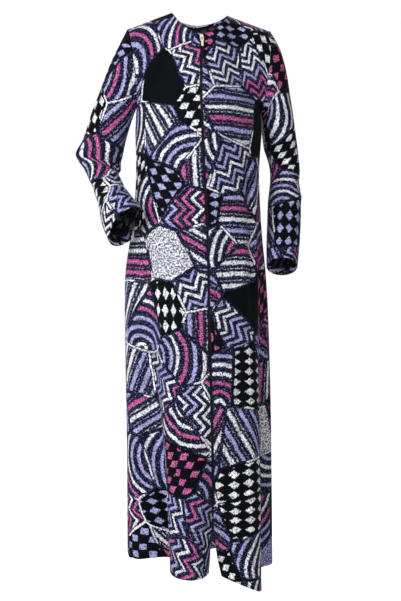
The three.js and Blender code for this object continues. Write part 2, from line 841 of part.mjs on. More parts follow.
function zipMetal() {
  const metal = new THREE.Group();
  const slider = zipFrame(sliderHeight);
  slider.add(namedMesh('zip_slider', sliderGeometry(), paleMetal));
  slider.add(namedMesh('zip_pull_tab', pullTabGeometry(), paleMetal));
  metal.add(slider);

  const tapeFace = -(clothThickness + tapeClearance);
  const topFrame = zipFrame(-neckFrontDrop - topStop.drop);
  for (const sign of [-1, 1]) {
    const rest = tapeFace + 2 * seamGap;
    const geometry = block(topStop.width, -topStop.length / 2, topStop.length / 2, rest, -seamGap)
      .translate(sign * topStop.fromMiddle, 0, 0);
    topFrame.add(namedMesh(`zip_top_stop_${sideName(sign)}`, geometry, paleMetal));
  }
  metal.add(topFrame);

  const bottomFrame = zipFrame(zipEndHeight + bottomStop.rise);
  const bottomGeometry = block(
    bottomStop.width,
    -bottomStop.length / 2,
    bottomStop.length / 2,
    tapeFace + seamGap,
    tapeFace + seamGap + bottomStop.thickness,
  );
  bottomFrame.add(namedMesh('zip_bottom_stop', bottomGeometry, paleMetal));
  metal.add(bottomFrame);
  return metal;
}

const abaya = new THREE.Group();
for (const sign of [-1, 1]) {
  const grid = frontGrid(sign);
  const { parts, normals } = frontPanel(sign, grid);
  abaya.add(...parts, zipTape(sign, grid, normals));
}
abaya.add(...backPanel());
abaya.add(sleeve(-1, rightSleeve, rightCreases));
abaya.add(sleeve(1, leftSleeve, leftCreases));
abaya.add(zipMetal());

export default abaya;
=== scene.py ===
# %% [markdown]
# # A long zip-front robe in printed crepe
#
# The robe hangs as it does when it is worn, with nobody in it. Two front pieces meet at a zip, one
# back piece closes the body, and two long sleeves are set into the armholes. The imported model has
# them as plain walls of cloth, the fronts and the back each in four levels. This lesson lays real
# crepe over those walls: thin sheets in one piece each, with turned edges, soft creases, rows of
# stitches and a chalky print. It then gives the zip its woven tapes, its coil and its pale metal.
#
# Lengths in the tables are millimetres, because that is how a pattern cutter writes them. They
# become metres where a mesh is made.

import math

import bmesh
import bpy
import numpy as np
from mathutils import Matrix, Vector


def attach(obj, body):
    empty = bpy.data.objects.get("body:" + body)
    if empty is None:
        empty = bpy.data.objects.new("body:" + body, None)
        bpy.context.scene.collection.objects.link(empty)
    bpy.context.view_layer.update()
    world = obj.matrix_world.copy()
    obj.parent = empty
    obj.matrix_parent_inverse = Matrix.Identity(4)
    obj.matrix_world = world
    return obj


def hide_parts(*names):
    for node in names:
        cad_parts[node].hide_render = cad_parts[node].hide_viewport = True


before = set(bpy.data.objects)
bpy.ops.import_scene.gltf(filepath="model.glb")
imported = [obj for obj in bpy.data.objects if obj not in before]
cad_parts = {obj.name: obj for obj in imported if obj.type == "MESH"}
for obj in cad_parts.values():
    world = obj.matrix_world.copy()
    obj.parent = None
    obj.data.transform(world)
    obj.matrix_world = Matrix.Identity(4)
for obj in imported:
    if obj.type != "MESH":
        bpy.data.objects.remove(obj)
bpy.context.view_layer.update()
scene = bpy.context.scene
MM = 0.001
print("solid nodes:", len(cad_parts))


def linked(name, data):
    """A new object in the scene."""
    obj = bpy.data.objects.new(name, data)
    scene.collection.objects.link(obj)
    return obj


def finished_mesh(name, bm):
    """A mesh from a bmesh, which is then freed."""
    mesh = bpy.data.meshes.new(name)
    bm.to_mesh(mesh)
    bm.free()
    return mesh


# %% [markdown]
# ## The camera
#
# The picture was taken from nine degrees to the robe's right, with the lens level and a little
# above the middle of the skirt. A long lens from 2.6 metres keeps the sleeves and hem in true
# proportion. The camera could aim at an empty, but a level lens needs only one turn about the
# vertical, so that turn is given as a number.

# %% Place the camera
CAMERA_TURN = 9
CAMERA_DISTANCE = 2.6
CAMERA_SIDE = 0.0039
CAMERA_HEIGHT = -0.744
CAMERA_LENS = 59.9

camera_data = bpy.data.cameras.new("camera")
camera_data.lens = CAMERA_LENS
camera_data.sensor_width = 36
camera = linked("camera", camera_data)
turn = math.radians(CAMERA_TURN)
camera.location = (
    math.cos(turn) * CAMERA_SIDE - math.sin(turn) * CAMERA_DISTANCE,
    -math.sin(turn) * CAMERA_SIDE - math.cos(turn) * CAMERA_DISTANCE,
    CAMERA_HEIGHT,
)
camera.rotation_euler = (math.radians(90), 0, -turn)
scene.camera = camera
print("camera at", [round(v, 3) for v in camera.location])

# %% [markdown]
# ## The shape of the body
#
# The robe's body is a tube of cloth that widens to the hem. Level sections give its width
# and depth, and a table of folds says where a flute stands out or a valley goes in, how deep it is
# at the hem, and how high up it starts. A cloth simulation could find folds of its own, but these
# are the folds of one robe on one day, so they are listed one by one.

# %% Tables for the body
HEM_HEIGHT = -1420
UNDERARM_HEIGHT = -250
ZIP_END_HEIGHT = -1283
SEAM_GAP = 0.3
FRONT_EDGE_HALF_GAP = 3.5
SLIT_WIDTH_AT_HEM = 28
SLIT_CURVE = 1.3

# height, centre, half width, depth in front, depth behind
BODY_SECTIONS = [
    (-250, 0, 163, 122, 92),
    (-300, 0, 166, 132, 92),
    (-420, -3, 161, 128, 80),
    (-560, -5, 169, 139, 95),
    (-660, -8, 182, 148, 115),
    (-800, -5, 187, 155, 120),
    (-1100, 1, 187, 172, 135),
    (-1460, 3, 186, 192, 152),
]
# height and sideways drift of the centre front
CENTRE_DRIFT = [(-66, -4), (-250, -13), (-533, -2), (-816, 2), (-1188, 9), (-1460, 17)]
# height and depth of the centre line, in front and behind
CENTRE_FRONT = [(-60, -63), (-100, -81), (-150, -98), (-200, -112), (-250, -122)]
CENTRE_BACK = [(-15, 50), (-50, 66), (-100, 84), (-150, 93), (-200, 95), (-250, 92)]
# angle from the centre front, depth at the hem, half width, height where it starts, power
FOLDS = [
    (-16, 14, 14, -500, 1),
    (-55, -92, 17, -500, 1),
    (-98, 3, 18, -500, 1),
    (5, -84, 11, -900, 3),
    (33, 16, 14, -500, 1),
    (64, -48, 13, -500, 0.9),
    (94, 8, 14, -500, 1),
    (128, -45, 12, -620, 1),
    (165, -30, 10, -560, 1),
    (-150, -50, 12, -600, 1),
    (-122, -25, 9, -640, 1),
]
# angle, drop below the hem's level, half width
HEM_DIPS = [(-15, -3, 25), (32, 42, 24), (88, 12, 30), (-93, -34, 9), (-64, -26, 22)]


# %% Smooth reading of a table
def along(rows, place):
    """Every other column of a table, at places along its first column."""
    table = np.asarray(rows, dtype=float)
    if table[0, 0] > table[-1, 0]:
        table = table[::-1]
    keys = table[:, 0]
    values = table[:, 1:]
    last = len(keys) - 1
    after = np.minimum(np.arange(last + 1) + 1, last)
    before = np.maximum(np.arange(last + 1) - 1, 0)
    slopes = (values[after] - values[before]) / (keys[after] - keys[before])[:, None]
    place = np.asarray(place, dtype=float)
    index = np.clip(np.searchsorted(keys, place) - 1, 0, last - 1)
    span = (keys[index + 1] - keys[index])[..., None]
    f = np.clip((place - keys[index]) / span[..., 0], 0, 1)[..., None]
    ease = f * f * (3 - 2 * f)
    line = values[index] * (1 - ease) + values[index + 1] * ease
    return line + f * (1 - f) ** 2 * span * slopes[index] - f * f * (1 - f) * span * slopes[index + 1]


def bump(distance, half_width):
    """1 at the middle, fading out over the half width."""
    return np.exp(-((distance / half_width) ** 2))


def turn_between(a, b):
    return (a - b + 180) % 360 - 180


def unit(vectors):
    return vectors / (np.linalg.norm(vectors, axis=-1, keepdims=True) + 1e-12)


def length_along(line):
    """The length from a line's start to each of its points."""
    return np.concatenate([[0], np.cumsum(np.linalg.norm(np.diff(line, axis=0), axis=-1))])


# %% Points on the body
def body_point(angle, z):
    turn = np.radians(angle)
    centre, half_width, front, back = np.moveaxis(along(BODY_SECTIONS, z), -1, 0)
    depth = np.where(np.cos(turn) > 0, front, back)
    x_out = np.sin(turn) / half_width
    y_out = -np.cos(turn) / depth
    fold = 0
    for at, full_depth, fold_width, start, power in FOLDS:
        fall = np.maximum(0, (start - z) / (start - HEM_HEIGHT))
        fold = fold + full_depth * fall**power * bump(turn_between(angle, at), fold_width)
    reach = fold / np.hypot(x_out, y_out)
    x = centre + half_width * np.sin(turn) + x_out * reach
    y = -depth * np.cos(turn) + y_out * reach
    return np.stack([x, y, z], axis=-1)


def hem_at(angle):
    return HEM_HEIGHT - sum(dip * bump(turn_between(angle, at), width) for at, dip, width in HEM_DIPS)


def front_edge_x(sign, z):
    """The zip edge of one front; the left one swings away below the zip."""
    below = np.maximum(0, (ZIP_END_HEIGHT - z) / (ZIP_END_HEIGHT - HEM_HEIGHT))
    swing = (SLIT_WIDTH_AT_HEM - FRONT_EDGE_HALF_GAP) * below**SLIT_CURVE if sign > 0 else 0
    return along(CENTRE_DRIFT, z)[..., 0] + sign * (FRONT_EDGE_HALF_GAP + swing)


def skirt_point(sign, facing, share, z):
    """From the centre line (share 0) to the side seam (share 1), on the front (-1) or back (1)."""
    share, z = np.broadcast_arrays(np.asarray(share, dtype=float), np.asarray(z, dtype=float))
    if facing > 0:
        angle = sign * (180 - 90 * share)
    else:
        section = along(BODY_SECTIONS, z)
        edge = np.degrees(np.arcsin((front_edge_x(sign, z) - section[..., 0]) / section[..., 1]))
        angle = edge + (sign * 90 - edge) * share
    point = body_point(angle, z)
    point[..., 1] += facing * (share == 1) * SEAM_GAP / 2
    return point


# %% [markdown]
# ## Neck, shoulders and armholes
#
# Above the underarm the cloth leaves the tube and runs up to a round neck and two sloping shoulder
# seams. Each half is a patch between four border lines: the tube below, the neck and shoulder
# above, the centre line on one side and the armhole on the other. Blending borders is the usual
# way to fill such a shape when only its edges are known.

# %% Neck, shoulder and armhole lines
NECK_HALF_WIDTH = 74
NECK_DEPTH = {-1: 66, 1: 48}
NECK_DROP = {-1: 66, 1: 16}
SHOULDER_HALF_WIDTH = 186
SHOULDER_DROP = {-1: 47, 1: 36}
ARMHOLE_HALF_DEPTH = 56
# how late the centre line turns to meet the neck
NECK_PULL_POWER = 6


def neck_point(sign, facing, share):
    turn = np.radians(90 * share)
    out = sign * NECK_HALF_WIDTH * np.sin(turn)
    x = out
    if facing < 0:
        x = out + front_edge_x(sign, -NECK_DROP[-1]) * np.cos(turn)
    y = facing * (NECK_DEPTH[facing] * np.cos(turn) + SEAM_GAP / 2)
    return np.stack([x, y, -NECK_DROP[facing] * np.cos(turn) ** 2], axis=-1)


def shoulder_point(sign, facing, share):
    x = sign * (NECK_HALF_WIDTH + (SHOULDER_HALF_WIDTH - NECK_HALF_WIDTH) * share)
    return np.stack([x, np.full_like(x, facing * SEAM_GAP / 2), -SHOULDER_DROP[sign] * share], axis=-1)


def armhole_frame(sign):
    tip = np.array([sign * SHOULDER_HALF_WIDTH, 0, -SHOULDER_DROP[sign]], dtype=float)
    underarm = np.array([sign * BODY_SECTIONS[0][2], 0, UNDERARM_HEIGHT], dtype=float)
    centre = (tip + underarm) / 2
    half = tip - centre
    outward = unit(np.array([half[2], 0, -half[0]]))
    return centre, half, outward * (1 if outward[0] * sign > 0 else -1)


def armhole_point(sign, facing, share):
    """From the underarm up to the shoulder tip, closer together at the underarm."""
    turn = np.radians(180 * (1 - 0.35 * share - 0.65 * share * share))
    centre, half, _ = armhole_frame(sign)
    point = centre + half * np.cos(turn)[..., None]
    point[..., 1] = facing * (ARMHOLE_HALF_DEPTH * np.sin(turn) + SEAM_GAP / 2)
    return point


# %% The bodice patch
def bodice_points(sign, facing, shares, neck_share, row_count):
    """Rows of points from the underarm up to the neck and shoulder."""
    bottom = skirt_point(sign, facing, shares, UNDERARM_HEIGHT)
    in_neck = shares < neck_share
    neck = neck_point(sign, facing, np.minimum(shares / neck_share, 1))
    shoulder = shoulder_point(sign, facing, np.maximum(0, (shares - neck_share) / (1 - neck_share)))
    top = np.where(in_neck[:, None], neck, shoulder)
    rise = np.linspace(0, 1, row_count + 1)
    z = UNDERARM_HEIGHT + (top[0, 2] - UNDERARM_HEIGHT) * rise
    if facing > 0:
        line = np.stack([np.zeros_like(z), along(CENTRE_BACK, z)[:, 0], z], axis=-1)
    else:
        line = np.stack([front_edge_x(sign, z), along(CENTRE_FRONT, z)[:, 0], z], axis=-1)
    pull = (rise**NECK_PULL_POWER)[:, None]
    line = line * (1 - pull) + top[0] * pull
    armhole = armhole_point(sign, facing, rise)
    near_centre = (1 - 3 * shares**2 + 2 * shares**3)[None, :, None]
    up = rise[:, None, None]
    between = bottom[None] * (1 - up) + top[None] * up
    centre_pull = line[:, None] - between[:, :1]
    armhole_pull = armhole[:, None] - between[:, -1:]
    return between + centre_pull * near_centre + armhole_pull * (1 - near_centre)


# %% Grids of the front and back pieces
FRONT_COLUMNS = 20
BACK_HALF_COLUMNS = 16
NECK_COLUMNS = {-1: 8, 1: 6}
SLIT_ROWS = 3
SKIRT_ROWS = {-1: 18, 1: 17}
BODICE_ROWS = 8
EASING_PASSES = 10
EASED_SKIRT_ROWS = 3
HELD_COLUMNS = 5
NO_HELD_EDGE = 1e9


def half_grid(sign, facing):
    """grid[row][column] of one half, from the centre line outwards and from the hem up."""
    columns = FRONT_COLUMNS if facing < 0 else BACK_HALF_COLUMNS
    shares = np.arange(columns + 1) / columns
    nominal = sign * 90 * shares if facing < 0 else sign * (180 - 90 * shares)
    hem = hem_at(nominal)
    rows = []
    for row in range(SLIT_ROWS):
        z = hem + (ZIP_END_HEIGHT - hem) * row / SLIT_ROWS
        rows.append(skirt_point(sign, facing, shares, z))
    for row in range(SKIRT_ROWS[facing]):
        z = ZIP_END_HEIGHT + (UNDERARM_HEIGHT - ZIP_END_HEIGHT) * row / SKIRT_ROWS[facing]
        rows.append(skirt_point(sign, facing, shares, np.full_like(shares, z)))
    bodice = bodice_points(sign, facing, shares, NECK_COLUMNS[facing] / columns, BODICE_ROWS)
    return np.concatenate([np.stack(rows), bodice])


def ease(grid, edge_column):
    """Let the corner under the neck and shoulder fade out; columns by the zip keep their places."""
    grid = grid.copy()
    top = len(grid) - 1
    underarm = top - BODICE_ROWS
    columns = np.arange(grid.shape[1])
    held = np.clip((np.abs(columns - edge_column) - 1) / HELD_COLUMNS, None, 1)[1:-1, None]
    for _ in range(EASING_PASSES):
        for row in range(underarm - EASED_SKIRT_ROWS, top):
            below = min(1, (row - underarm + EASED_SKIRT_ROWS + 1) / EASED_SKIRT_ROWS)
            strength = 0.5 * below * min(1, 1.5 * (top - row) / BODICE_ROWS)
            middle = (grid[row, :-2] + grid[row, 2:]) / 2
            grid[row, 1:-1] += (middle - grid[row, 1:-1]) * strength * held
    return grid


front_grids = {
    -1: ease(half_grid(-1, -1)[:, ::-1], FRONT_COLUMNS),
    1: ease(half_grid(1, -1), 0),
}
back_halves = [half_grid(1, 1)[:, ::-1], half_grid(-1, 1)[:, 1:]]
back_grid = ease(np.concatenate(back_halves, axis=1), NO_HELD_EDGE)
print("front grid", front_grids[1].shape, "back grid", back_grid.shape)

# %% [markdown]
# ## The sleeves
#
# A sleeve is a tube too, but its middle bends. Each station gives the outermost point, the
# innermost point and half the depth, so the right sleeve can bend forward at the elbow while the
# left one hangs. A curve with a bevel would give an even pipe, and these sleeves flatten and
# crease at the bend, which the stations allow.

# %% Stations of the sleeves
# outermost x, y, z, then innermost x, y, z, then half depth
LEFT_SLEEVE = [
    (186, 0, -36, 163, 0, -250, 56),
    (210, 2, -80, 168, 3, -263, 57),
    (226, 6, -135, 172, 6, -282, 56),
    (238, 14, -200, 176, 10, -306, 54),
    (252, 22, -264, 182, 18, -334, 53),
    (268, 34, -341, 193, 28, -370, 52),
    (280, 41, -420, 200, 37, -422, 52),
    (279, 34, -480, 193, 32, -472, 51),
    (273, 12, -548, 186, 14, -532, 51),
    (263, -12, -610, 179, -10, -594, 50),
    (251, -36, -664, 174, -36, -648, 49),
]
RIGHT_SLEEVE = [
    (-186, 0, -47, -163, 0, -250, 56),
    (-211, 3, -98, -168, 3, -262, 57),
    (-233, 6, -152, -174, 6, -280, 56),
    (-256, 14, -214, -181, 10, -303, 53),
    (-281, 24, -278, -190, 15, -335, 51),
    (-300, 35, -332, -197, 15, -372, 50),
    (-316, 44, -366, -202, 8, -406, 50),
    (-301, 40, -398, -203, -6, -428, 49),
    (-277, 22, -438, -196, -34, -454, 48),
    (-264, -2, -482, -186, -66, -477, 47),
    (-252, -28, -527, -177, -98, -495, 46),
    (-239, -54, -572, -171, -118, -508, 45),
    (-226, -76, -608, -169, -128, -515, 45),
]
# station, run, turn round the sleeve, spread, depth; turn 0 is the outer side and 90 the front
LEFT_HOLLOWS = [
    (2.2, 0.55, 120, 45, -5),
    (5.3, 0.5, 160, 50, -4),
    (6.4, 0.45, 60, 60, -4),
    (8.2, 0.6, 110, 50, -4),
]
RIGHT_HOLLOWS = [
    (2.5, 0.6, 120, 45, -5),
    (5.4, 0.35, 150, 50, -6),
    (6.6, 0.4, 165, 55, -9),
    (7.9, 0.35, 150, 50, -6),
    (9.6, 0.6, 40, 50, -4),
]
SLEEVE_COLUMNS = 22
ROWS_PER_STATION = 2


# %% Rings of a sleeve
def sleeve_grid(sign, stations, hollows):
    numbered = [(index, *row) for index, row in enumerate(stations)]
    last = len(stations) - 1
    step = 0.25

    def centre_at(place):
        values = along(numbered, place)
        return (values[..., :3] + values[..., 3:6]) / 2

    places = np.linspace(0, last, last * ROWS_PER_STATION + 1)
    values = along(numbered, places)
    centre = centre_at(places)
    half = values[:, :3] - centre
    run = centre_at(np.minimum(places + step, last)) - centre_at(np.maximum(places - step, 0))
    forward = unit(sign * np.cross(run, half))
    ease_out = np.minimum(places, 1)[:, None]
    to_front = (1 - ease_out) ** 2
    forward = unit(forward * (1 - to_front) + np.array([0, -1, 0]) * to_front)
    degrees = 360 * np.arange(SLEEVE_COLUMNS) / SLEEVE_COLUMNS
    cosine = np.cos(np.radians(degrees))[None, :, None]
    sine = np.sin(np.radians(degrees))[None, :, None]
    reach = np.zeros((len(places), SLEEVE_COLUMNS))
    for station, length, at, spread, depth in hollows:
        reach += depth * bump(places - station, length)[:, None] * bump(turn_between(degrees, at), spread)
    outward = unit(half)[:, None] * cosine + forward[:, None] * sine
    grid = centre[:, None] + half[:, None] * cosine + forward[:, None] * values[:, 6, None, None] * sine
    grid = grid + outward * (reach * ease_out)[..., None]
    grid[0] += armhole_frame(sign)[2] * SEAM_GAP
    if sign < 0:
        grid = grid[:, ::-1]
    inner = int(np.argmin(np.abs(turn_between((degrees if sign > 0 else degrees[::-1]), 180))))
    return np.roll(grid, -inner, axis=1)


sleeve_grids = {
    -1: sleeve_grid(-1, RIGHT_SLEEVE, RIGHT_HOLLOWS),
    1: sleeve_grid(1, LEFT_SLEEVE, LEFT_HOLLOWS),
}
print("sleeve grids", sleeve_grids[-1].shape, sleeve_grids[1].shape)


# %% [markdown]
# ## From a coarse grid to smooth cloth
#
# The grids above have a point every few centimetres. Cloth needs one every few millimetres, so a
# smooth surface is drawn through the points, the same idea as a curve through control points but
# in two directions. A subdivision modifier would pull the surface away from the points at its
# edges, and here the edges have to stay where the seams are.

# %% A smooth surface through a grid
def curve_weights(f):
    return (
        ((-0.5 * f + 1) * f - 0.5) * f,
        (1.5 * f - 2.5) * f * f + 1,
        ((-1.5 * f + 2) * f + 0.5) * f,
        (0.5 * f - 0.5) * f * f,
    )


class Surface:
    """A smooth surface through a grid of points, with a sharp turn in its top line at each corner."""

    CORNER_ROWS = 3

    def __init__(self, grid, corners=(), closed=False):
        self.closed = closed
        self.rows = len(grid) - 1
        self.columns = grid.shape[1] - (0 if closed else 1)
        tall = np.concatenate([2 * grid[:1] - grid[1:2], grid, 2 * grid[-1:] - grid[-2:-1]])
        if closed:
            self.parts = [(0, self.columns, np.concatenate([tall[:, -1:], tall, tall[:, :2]], axis=1))]
            return
        row = np.arange(len(tall)) - 1
        sharp = np.clip(1 - (self.rows - row) / self.CORNER_ROWS, 0, 1)[:, None]
        self.parts = []
        breaks = [0, *corners, self.columns]
        for low, high in zip(breaks, breaks[1:]):
            before = 2 * tall[:, low] - tall[:, low + 1]
            after = 2 * tall[:, high] - tall[:, high - 1]
            if low > 0:
                before = before * sharp + tall[:, low - 1] * (1 - sharp)
            if high < self.columns:
                after = after * sharp + tall[:, high + 1] * (1 - sharp)
            part = np.concatenate([before[:, None], tall[:, low : high + 1], after[:, None]], axis=1)
            self.parts.append((low, high, part))

    def at(self, across, up):
        if self.closed:
            across = across % self.columns
        across, up = np.broadcast_arrays(across, up)
        result = np.zeros((*across.shape, 3))
        for low, high, part in self.parts:
            inside = (across >= low) & (across <= high)
            a = across[inside] - low
            b = up[inside]
            column = np.clip(np.floor(a).astype(int), 0, high - low - 1)
            row = np.clip(np.floor(b).astype(int), 0, self.rows - 1)
            total = 0
            for i, row_weight in enumerate(curve_weights(b - row)):
                for j, column_weight in enumerate(curve_weights(a - column)):
                    total = total + (row_weight * column_weight)[:, None] * part[row + i, column + j]
            result[inside] = total
        return result

    def slopes(self, across, up):
        """How the surface runs across and up, per grid step."""
        step = 0.04
        low = across - step
        high = across + step
        if not self.closed:
            low = np.maximum(low, 0)
            high = np.minimum(high, self.columns)
        down = np.maximum(up - step, 0)
        over = np.minimum(up + step, self.rows)
        run = (self.at(high, up) - self.at(low, up)) / (high - low)[..., None]
        rise = (self.at(across, over) - self.at(across, down)) / (over - down)[..., None]
        return run, rise


# %% [markdown]
# ## Turned edges
#
# No cut edge of a robe is left raw. At the neck, cuffs, hem, slit and zip the crepe rolls over and
# runs back inside for a hem, and at every seam it rolls in and leaves an allowance. Those small
# rolls catch the light and make cloth look like cloth. Each piece is one grid made by Blender's
# own operator. Its outermost columns and rows are laid round the roll and back along the inside.

# %% Lay a grid over a surface, with turned edges
ROLL = 0.75
ROLL_STEPS = 4
FLAP_STEP = 4
CLOTH_STEP = 4.4
CREASE_FADE = 26
# the wider steps of a grid set its fineness, so this percentile of them is read
STEP_PERCENTILE = 70


def turned_edge(flap):
    """Inset from the edge, depth under the face and length along the cloth, from the edge on."""
    turns = np.linspace(0, math.pi, ROLL_STEPS + 1)[1:]
    lie = np.linspace(0, flap, max(2, round(flap / FLAP_STEP)) + 1)[1:]
    inset = np.concatenate([ROLL * (1 - np.sin(turns)), ROLL + lie])
    depth = np.concatenate([ROLL * (1 - np.cos(turns)), np.full(len(lie), 2 * ROLL)])
    path = np.concatenate([ROLL * turns, ROLL * math.pi + lie])
    return inset, depth, path


def fine_steps(lengths):
    """Places along a grid direction, about one cloth step apart."""
    places = [0.0]
    for index, length in enumerate(lengths):
        count = max(1, round(length / CLOTH_STEP))
        places.extend(index + (k + 1) / count for k in range(count))
    return np.array(places)


def smooth_step(value):
    value = np.clip(value, 0, 1)
    return value * value * (3 - 2 * value)


def flat_around(main):
    """Flat places on a sleeve, whose rings lean: x is square to its middle line and y runs along it."""
    centre = main[:, :-1].mean(axis=1)
    middle_run = unit(np.gradient(centre, axis=0))
    length = length_along(centre)
    lean = np.einsum("rci,ri->rc", main - centre[:, None], middle_run)
    step = np.diff(main, axis=1)
    lengthwise = np.einsum("rci,ri->rc", step, middle_run)
    crosswise = np.sqrt(np.maximum((step**2).sum(axis=-1) - lengthwise**2, 0))
    x = np.concatenate([np.zeros((len(main), 1)), np.cumsum(crosswise, axis=1)], axis=1)
    return x, length[:, None] + lean


def lay_cloth(surface, flaps, seams, relief, reference, keep_behind=None):
    """Points, normals, flat places and distances from the edges of one piece of cloth.

    flaps gives the turned width at the left, right, bottom and top; seams names the sides that are
    sewn to another piece; relief gives a crease height at a flat place; reference is the grid
    column and row where flat places are zero.
    """
    corner = surface.at(np.arange(surface.columns + 1.0)[None], np.arange(surface.rows + 1.0)[:, None])
    widths = np.linalg.norm(np.diff(corner, axis=1), axis=-1)
    heights = np.linalg.norm(np.diff(corner, axis=0), axis=-1)
    across = fine_steps(np.percentile(widths, STEP_PERCENTILE, axis=0))
    up = fine_steps(np.percentile(heights, STEP_PERCENTILE, axis=1))
    left, right, bottom, top = (turned_edge(flaps[side]) for side in ("left", "right", "bottom", "top"))

    # how long one grid step is at each border
    def border_length(a, b, direction):
        return np.linalg.norm(surface.slopes(a, b)[direction], axis=-1)

    full_up = np.concatenate([np.zeros(len(bottom[0])), up, np.full(len(top[0]), surface.rows)])
    full_across = np.concatenate([np.zeros(len(left[0])), across, np.full(len(right[0]), surface.columns)])
    left_step = border_length(np.zeros_like(full_up), full_up, 0)[:, None]
    right_step = border_length(np.full_like(full_up, surface.columns), full_up, 0)[:, None]
    bottom_step = border_length(full_across, np.zeros_like(full_across), 1)[None]
    top_step = border_length(full_across, np.full_like(full_across, surface.rows), 1)[None]

    def spread(places, count, low_band, high_band, low_step, high_step, axis):
        shape = (-1, 1) if axis == 0 else (1, -1)
        low = ROLL / low_step
        high = count - ROLL / high_step
        main = low + (high - low) * (places / count).reshape(shape)
        return np.concatenate(
            [
                low_band[0][::-1].reshape(shape) / low_step,
                main,
                count - high_band[0].reshape(shape) / high_step,
            ],
            axis=axis,
        )

    a = spread(across, surface.columns, left, right, left_step, right_step, 1)
    b = spread(up, surface.rows, bottom, top, bottom_step, top_step, 0)
    bare = surface.at(a, b)
    run, rise = surface.slopes(a, b)
    normals = unit(np.cross(run, rise))
    column_depth = np.concatenate([left[1][::-1], np.zeros(len(across)), right[1]])
    row_depth = np.concatenate([bottom[1][::-1], np.zeros(len(up)), top[1]])

    # flat places, measured along the cloth
    rows = slice(len(bottom[0]), len(bottom[0]) + len(up))
    columns = slice(len(left[0]), len(left[0]) + len(across))
    main = bare[rows, columns]
    zero = np.zeros((len(up), 1))
    flat_x = np.concatenate([zero, np.cumsum(np.linalg.norm(np.diff(main, axis=1), axis=-1), axis=1)], axis=1)
    zero = np.zeros((1, len(across)))
    flat_y = np.concatenate([zero, np.cumsum(np.linalg.norm(np.diff(main, axis=0), axis=-1), axis=0)])
    width = flat_x[:, -1:]
    height = flat_y[-1:]
    from_left = flat_x + ROLL
    from_bottom = flat_y + ROLL
    at_column = int(np.argmin(np.abs(across - reference[0])))
    at_row = int(np.argmin(np.abs(up - reference[1])))
    flat_x = flat_x - flat_x[:, at_column : at_column + 1]
    flat_y = flat_y - flat_y[at_row : at_row + 1]
    print_x, print_y = flat_x, flat_y
    if surface.closed:
        print_x, print_y = flat_around(main)
        print_x = print_x - print_x[:, at_column : at_column + 1]
    pad = ((len(bottom[0]), len(top[0])), (len(left[0]), len(right[0])))

    def widen(values, low, high, axis):
        """Carry values onto the turned edges, adding each one's own length."""
        wide = np.pad(values, pad, mode="edge")
        add = np.concatenate([low[::-1], np.zeros(values.shape[axis]), high])
        return wide + (add[:, None] if axis == 0 else add[None])

    cut_x = widen(print_x, -left[2], right[2], 1)
    cut_y = widen(print_y, -bottom[2], top[2], 0)
    lie_x = widen(flat_x, left[0] - ROLL, ROLL - right[0], 1)
    lie_y = widen(flat_y, bottom[0] - ROLL, ROLL - top[0], 0)
    from_left = widen(from_left, left[0] - ROLL, ROLL - right[0], 1)
    from_bottom = widen(from_bottom, bottom[0] - ROLL, ROLL - top[0], 0)
    distances = {
        "left": from_left,
        "right": np.pad(width, pad[:1] + ((0, 0),), mode="edge") + 2 * ROLL - from_left,
        "bottom": from_bottom,
        "top": np.pad(height, ((0, 0), pad[1]), mode="edge") + 2 * ROLL - from_bottom,
    }

    # soft creases, which die away at the seams
    raised = relief(lie_x, lie_y)
    for side in seams:
        raised = raised * smooth_step(distances[side] / CREASE_FADE)
    inward = normals
    if keep_behind is not None:
        inward = keep_behind(normals, distances)
    depth = column_depth[None] + row_depth[:, None]
    points = bare + normals * raised[..., None] - inward * depth[..., None]
    return {
        "points": points,
        "normals": normals,
        "cut": np.stack([cut_x, cut_y], axis=-1),
        "distances": distances,
        "rows": rows,
        "columns": columns,
        "across": across,
        "up": up,
    }


# %% Make the mesh of a piece of cloth
CLOTH_THICKNESS = 0.5


def grid_object(name, points, cut):
    """One of Blender's own grids, moved to the given points, with its flat cut as its UV map."""
    row_count, column_count = points.shape[:2]
    bm = bmesh.new()
    bmesh.ops.create_grid(bm, x_segments=column_count - 1, y_segments=row_count - 1, size=1)
    mesh = finished_mesh(name, bm)
    flat = np.empty(len(mesh.vertices) * 3)
    mesh.vertices.foreach_get("co", flat)
    flat = flat.reshape(-1, 3)
    column = np.rint((flat[:, 0] + 1) / 2 * (column_count - 1)).astype(int)
    row = np.rint((flat[:, 1] + 1) / 2 * (row_count - 1)).astype(int)
    mesh.vertices.foreach_set("co", (points[row, column] * MM).ravel())
    corners = np.empty(len(mesh.loops), dtype=np.int32)
    mesh.loops.foreach_get("vertex_index", corners)
    layer = mesh.uv_layers.new(name="cut")
    layer.data.foreach_set("uv", (cut[row, column][corners] * MM).ravel())
    mesh.shade_smooth()
    mesh.update()
    return linked(name, mesh)


def give_thickness(obj, thickness):
    wall = obj.modifiers.new("thickness", "SOLIDIFY")
    wall.thickness = thickness * MM
    wall.offset = -1
    wall.material_offset = 1


def cloth_area(obj):
    return sum(face.area for face in obj.data.polygons)


# %% [markdown]
# ## Creases listed one by one
#
# Crepe is limp, so besides the deep folds it carries long shallow ones: from the point of the
# shoulder, from the underarm across the chest, at the bend of an elbow. Each is a soft trough or
# ridge along a line on the flat cut. Noise could fill the cloth with ripples, but ripples that
# don't come from anything look wrong on a garment.

# %% Soft lines on the flat cut
def crease_relief(lines):
    """Height at a flat place. A line is x1, y1, x2, y2, half width, height; minus is a trough."""

    def relief(x, y):
        total = np.zeros_like(x)
        for x1, y1, x2, y2, half_width, height in lines:
            length = math.hypot(x2 - x1, y2 - y1)
            along_x = (x2 - x1) / length
            along_y = (y2 - y1) / length
            place = ((x - x1) * along_x + (y - y1) * along_y) / length
            aside = (y - y1) * along_x - (x - x1) * along_y
            fade = smooth_step((place + 0.15) / 0.35) * smooth_step((1.15 - place) / 0.35)
            total += height * fade * bump(aside, half_width)
        return total

    return relief


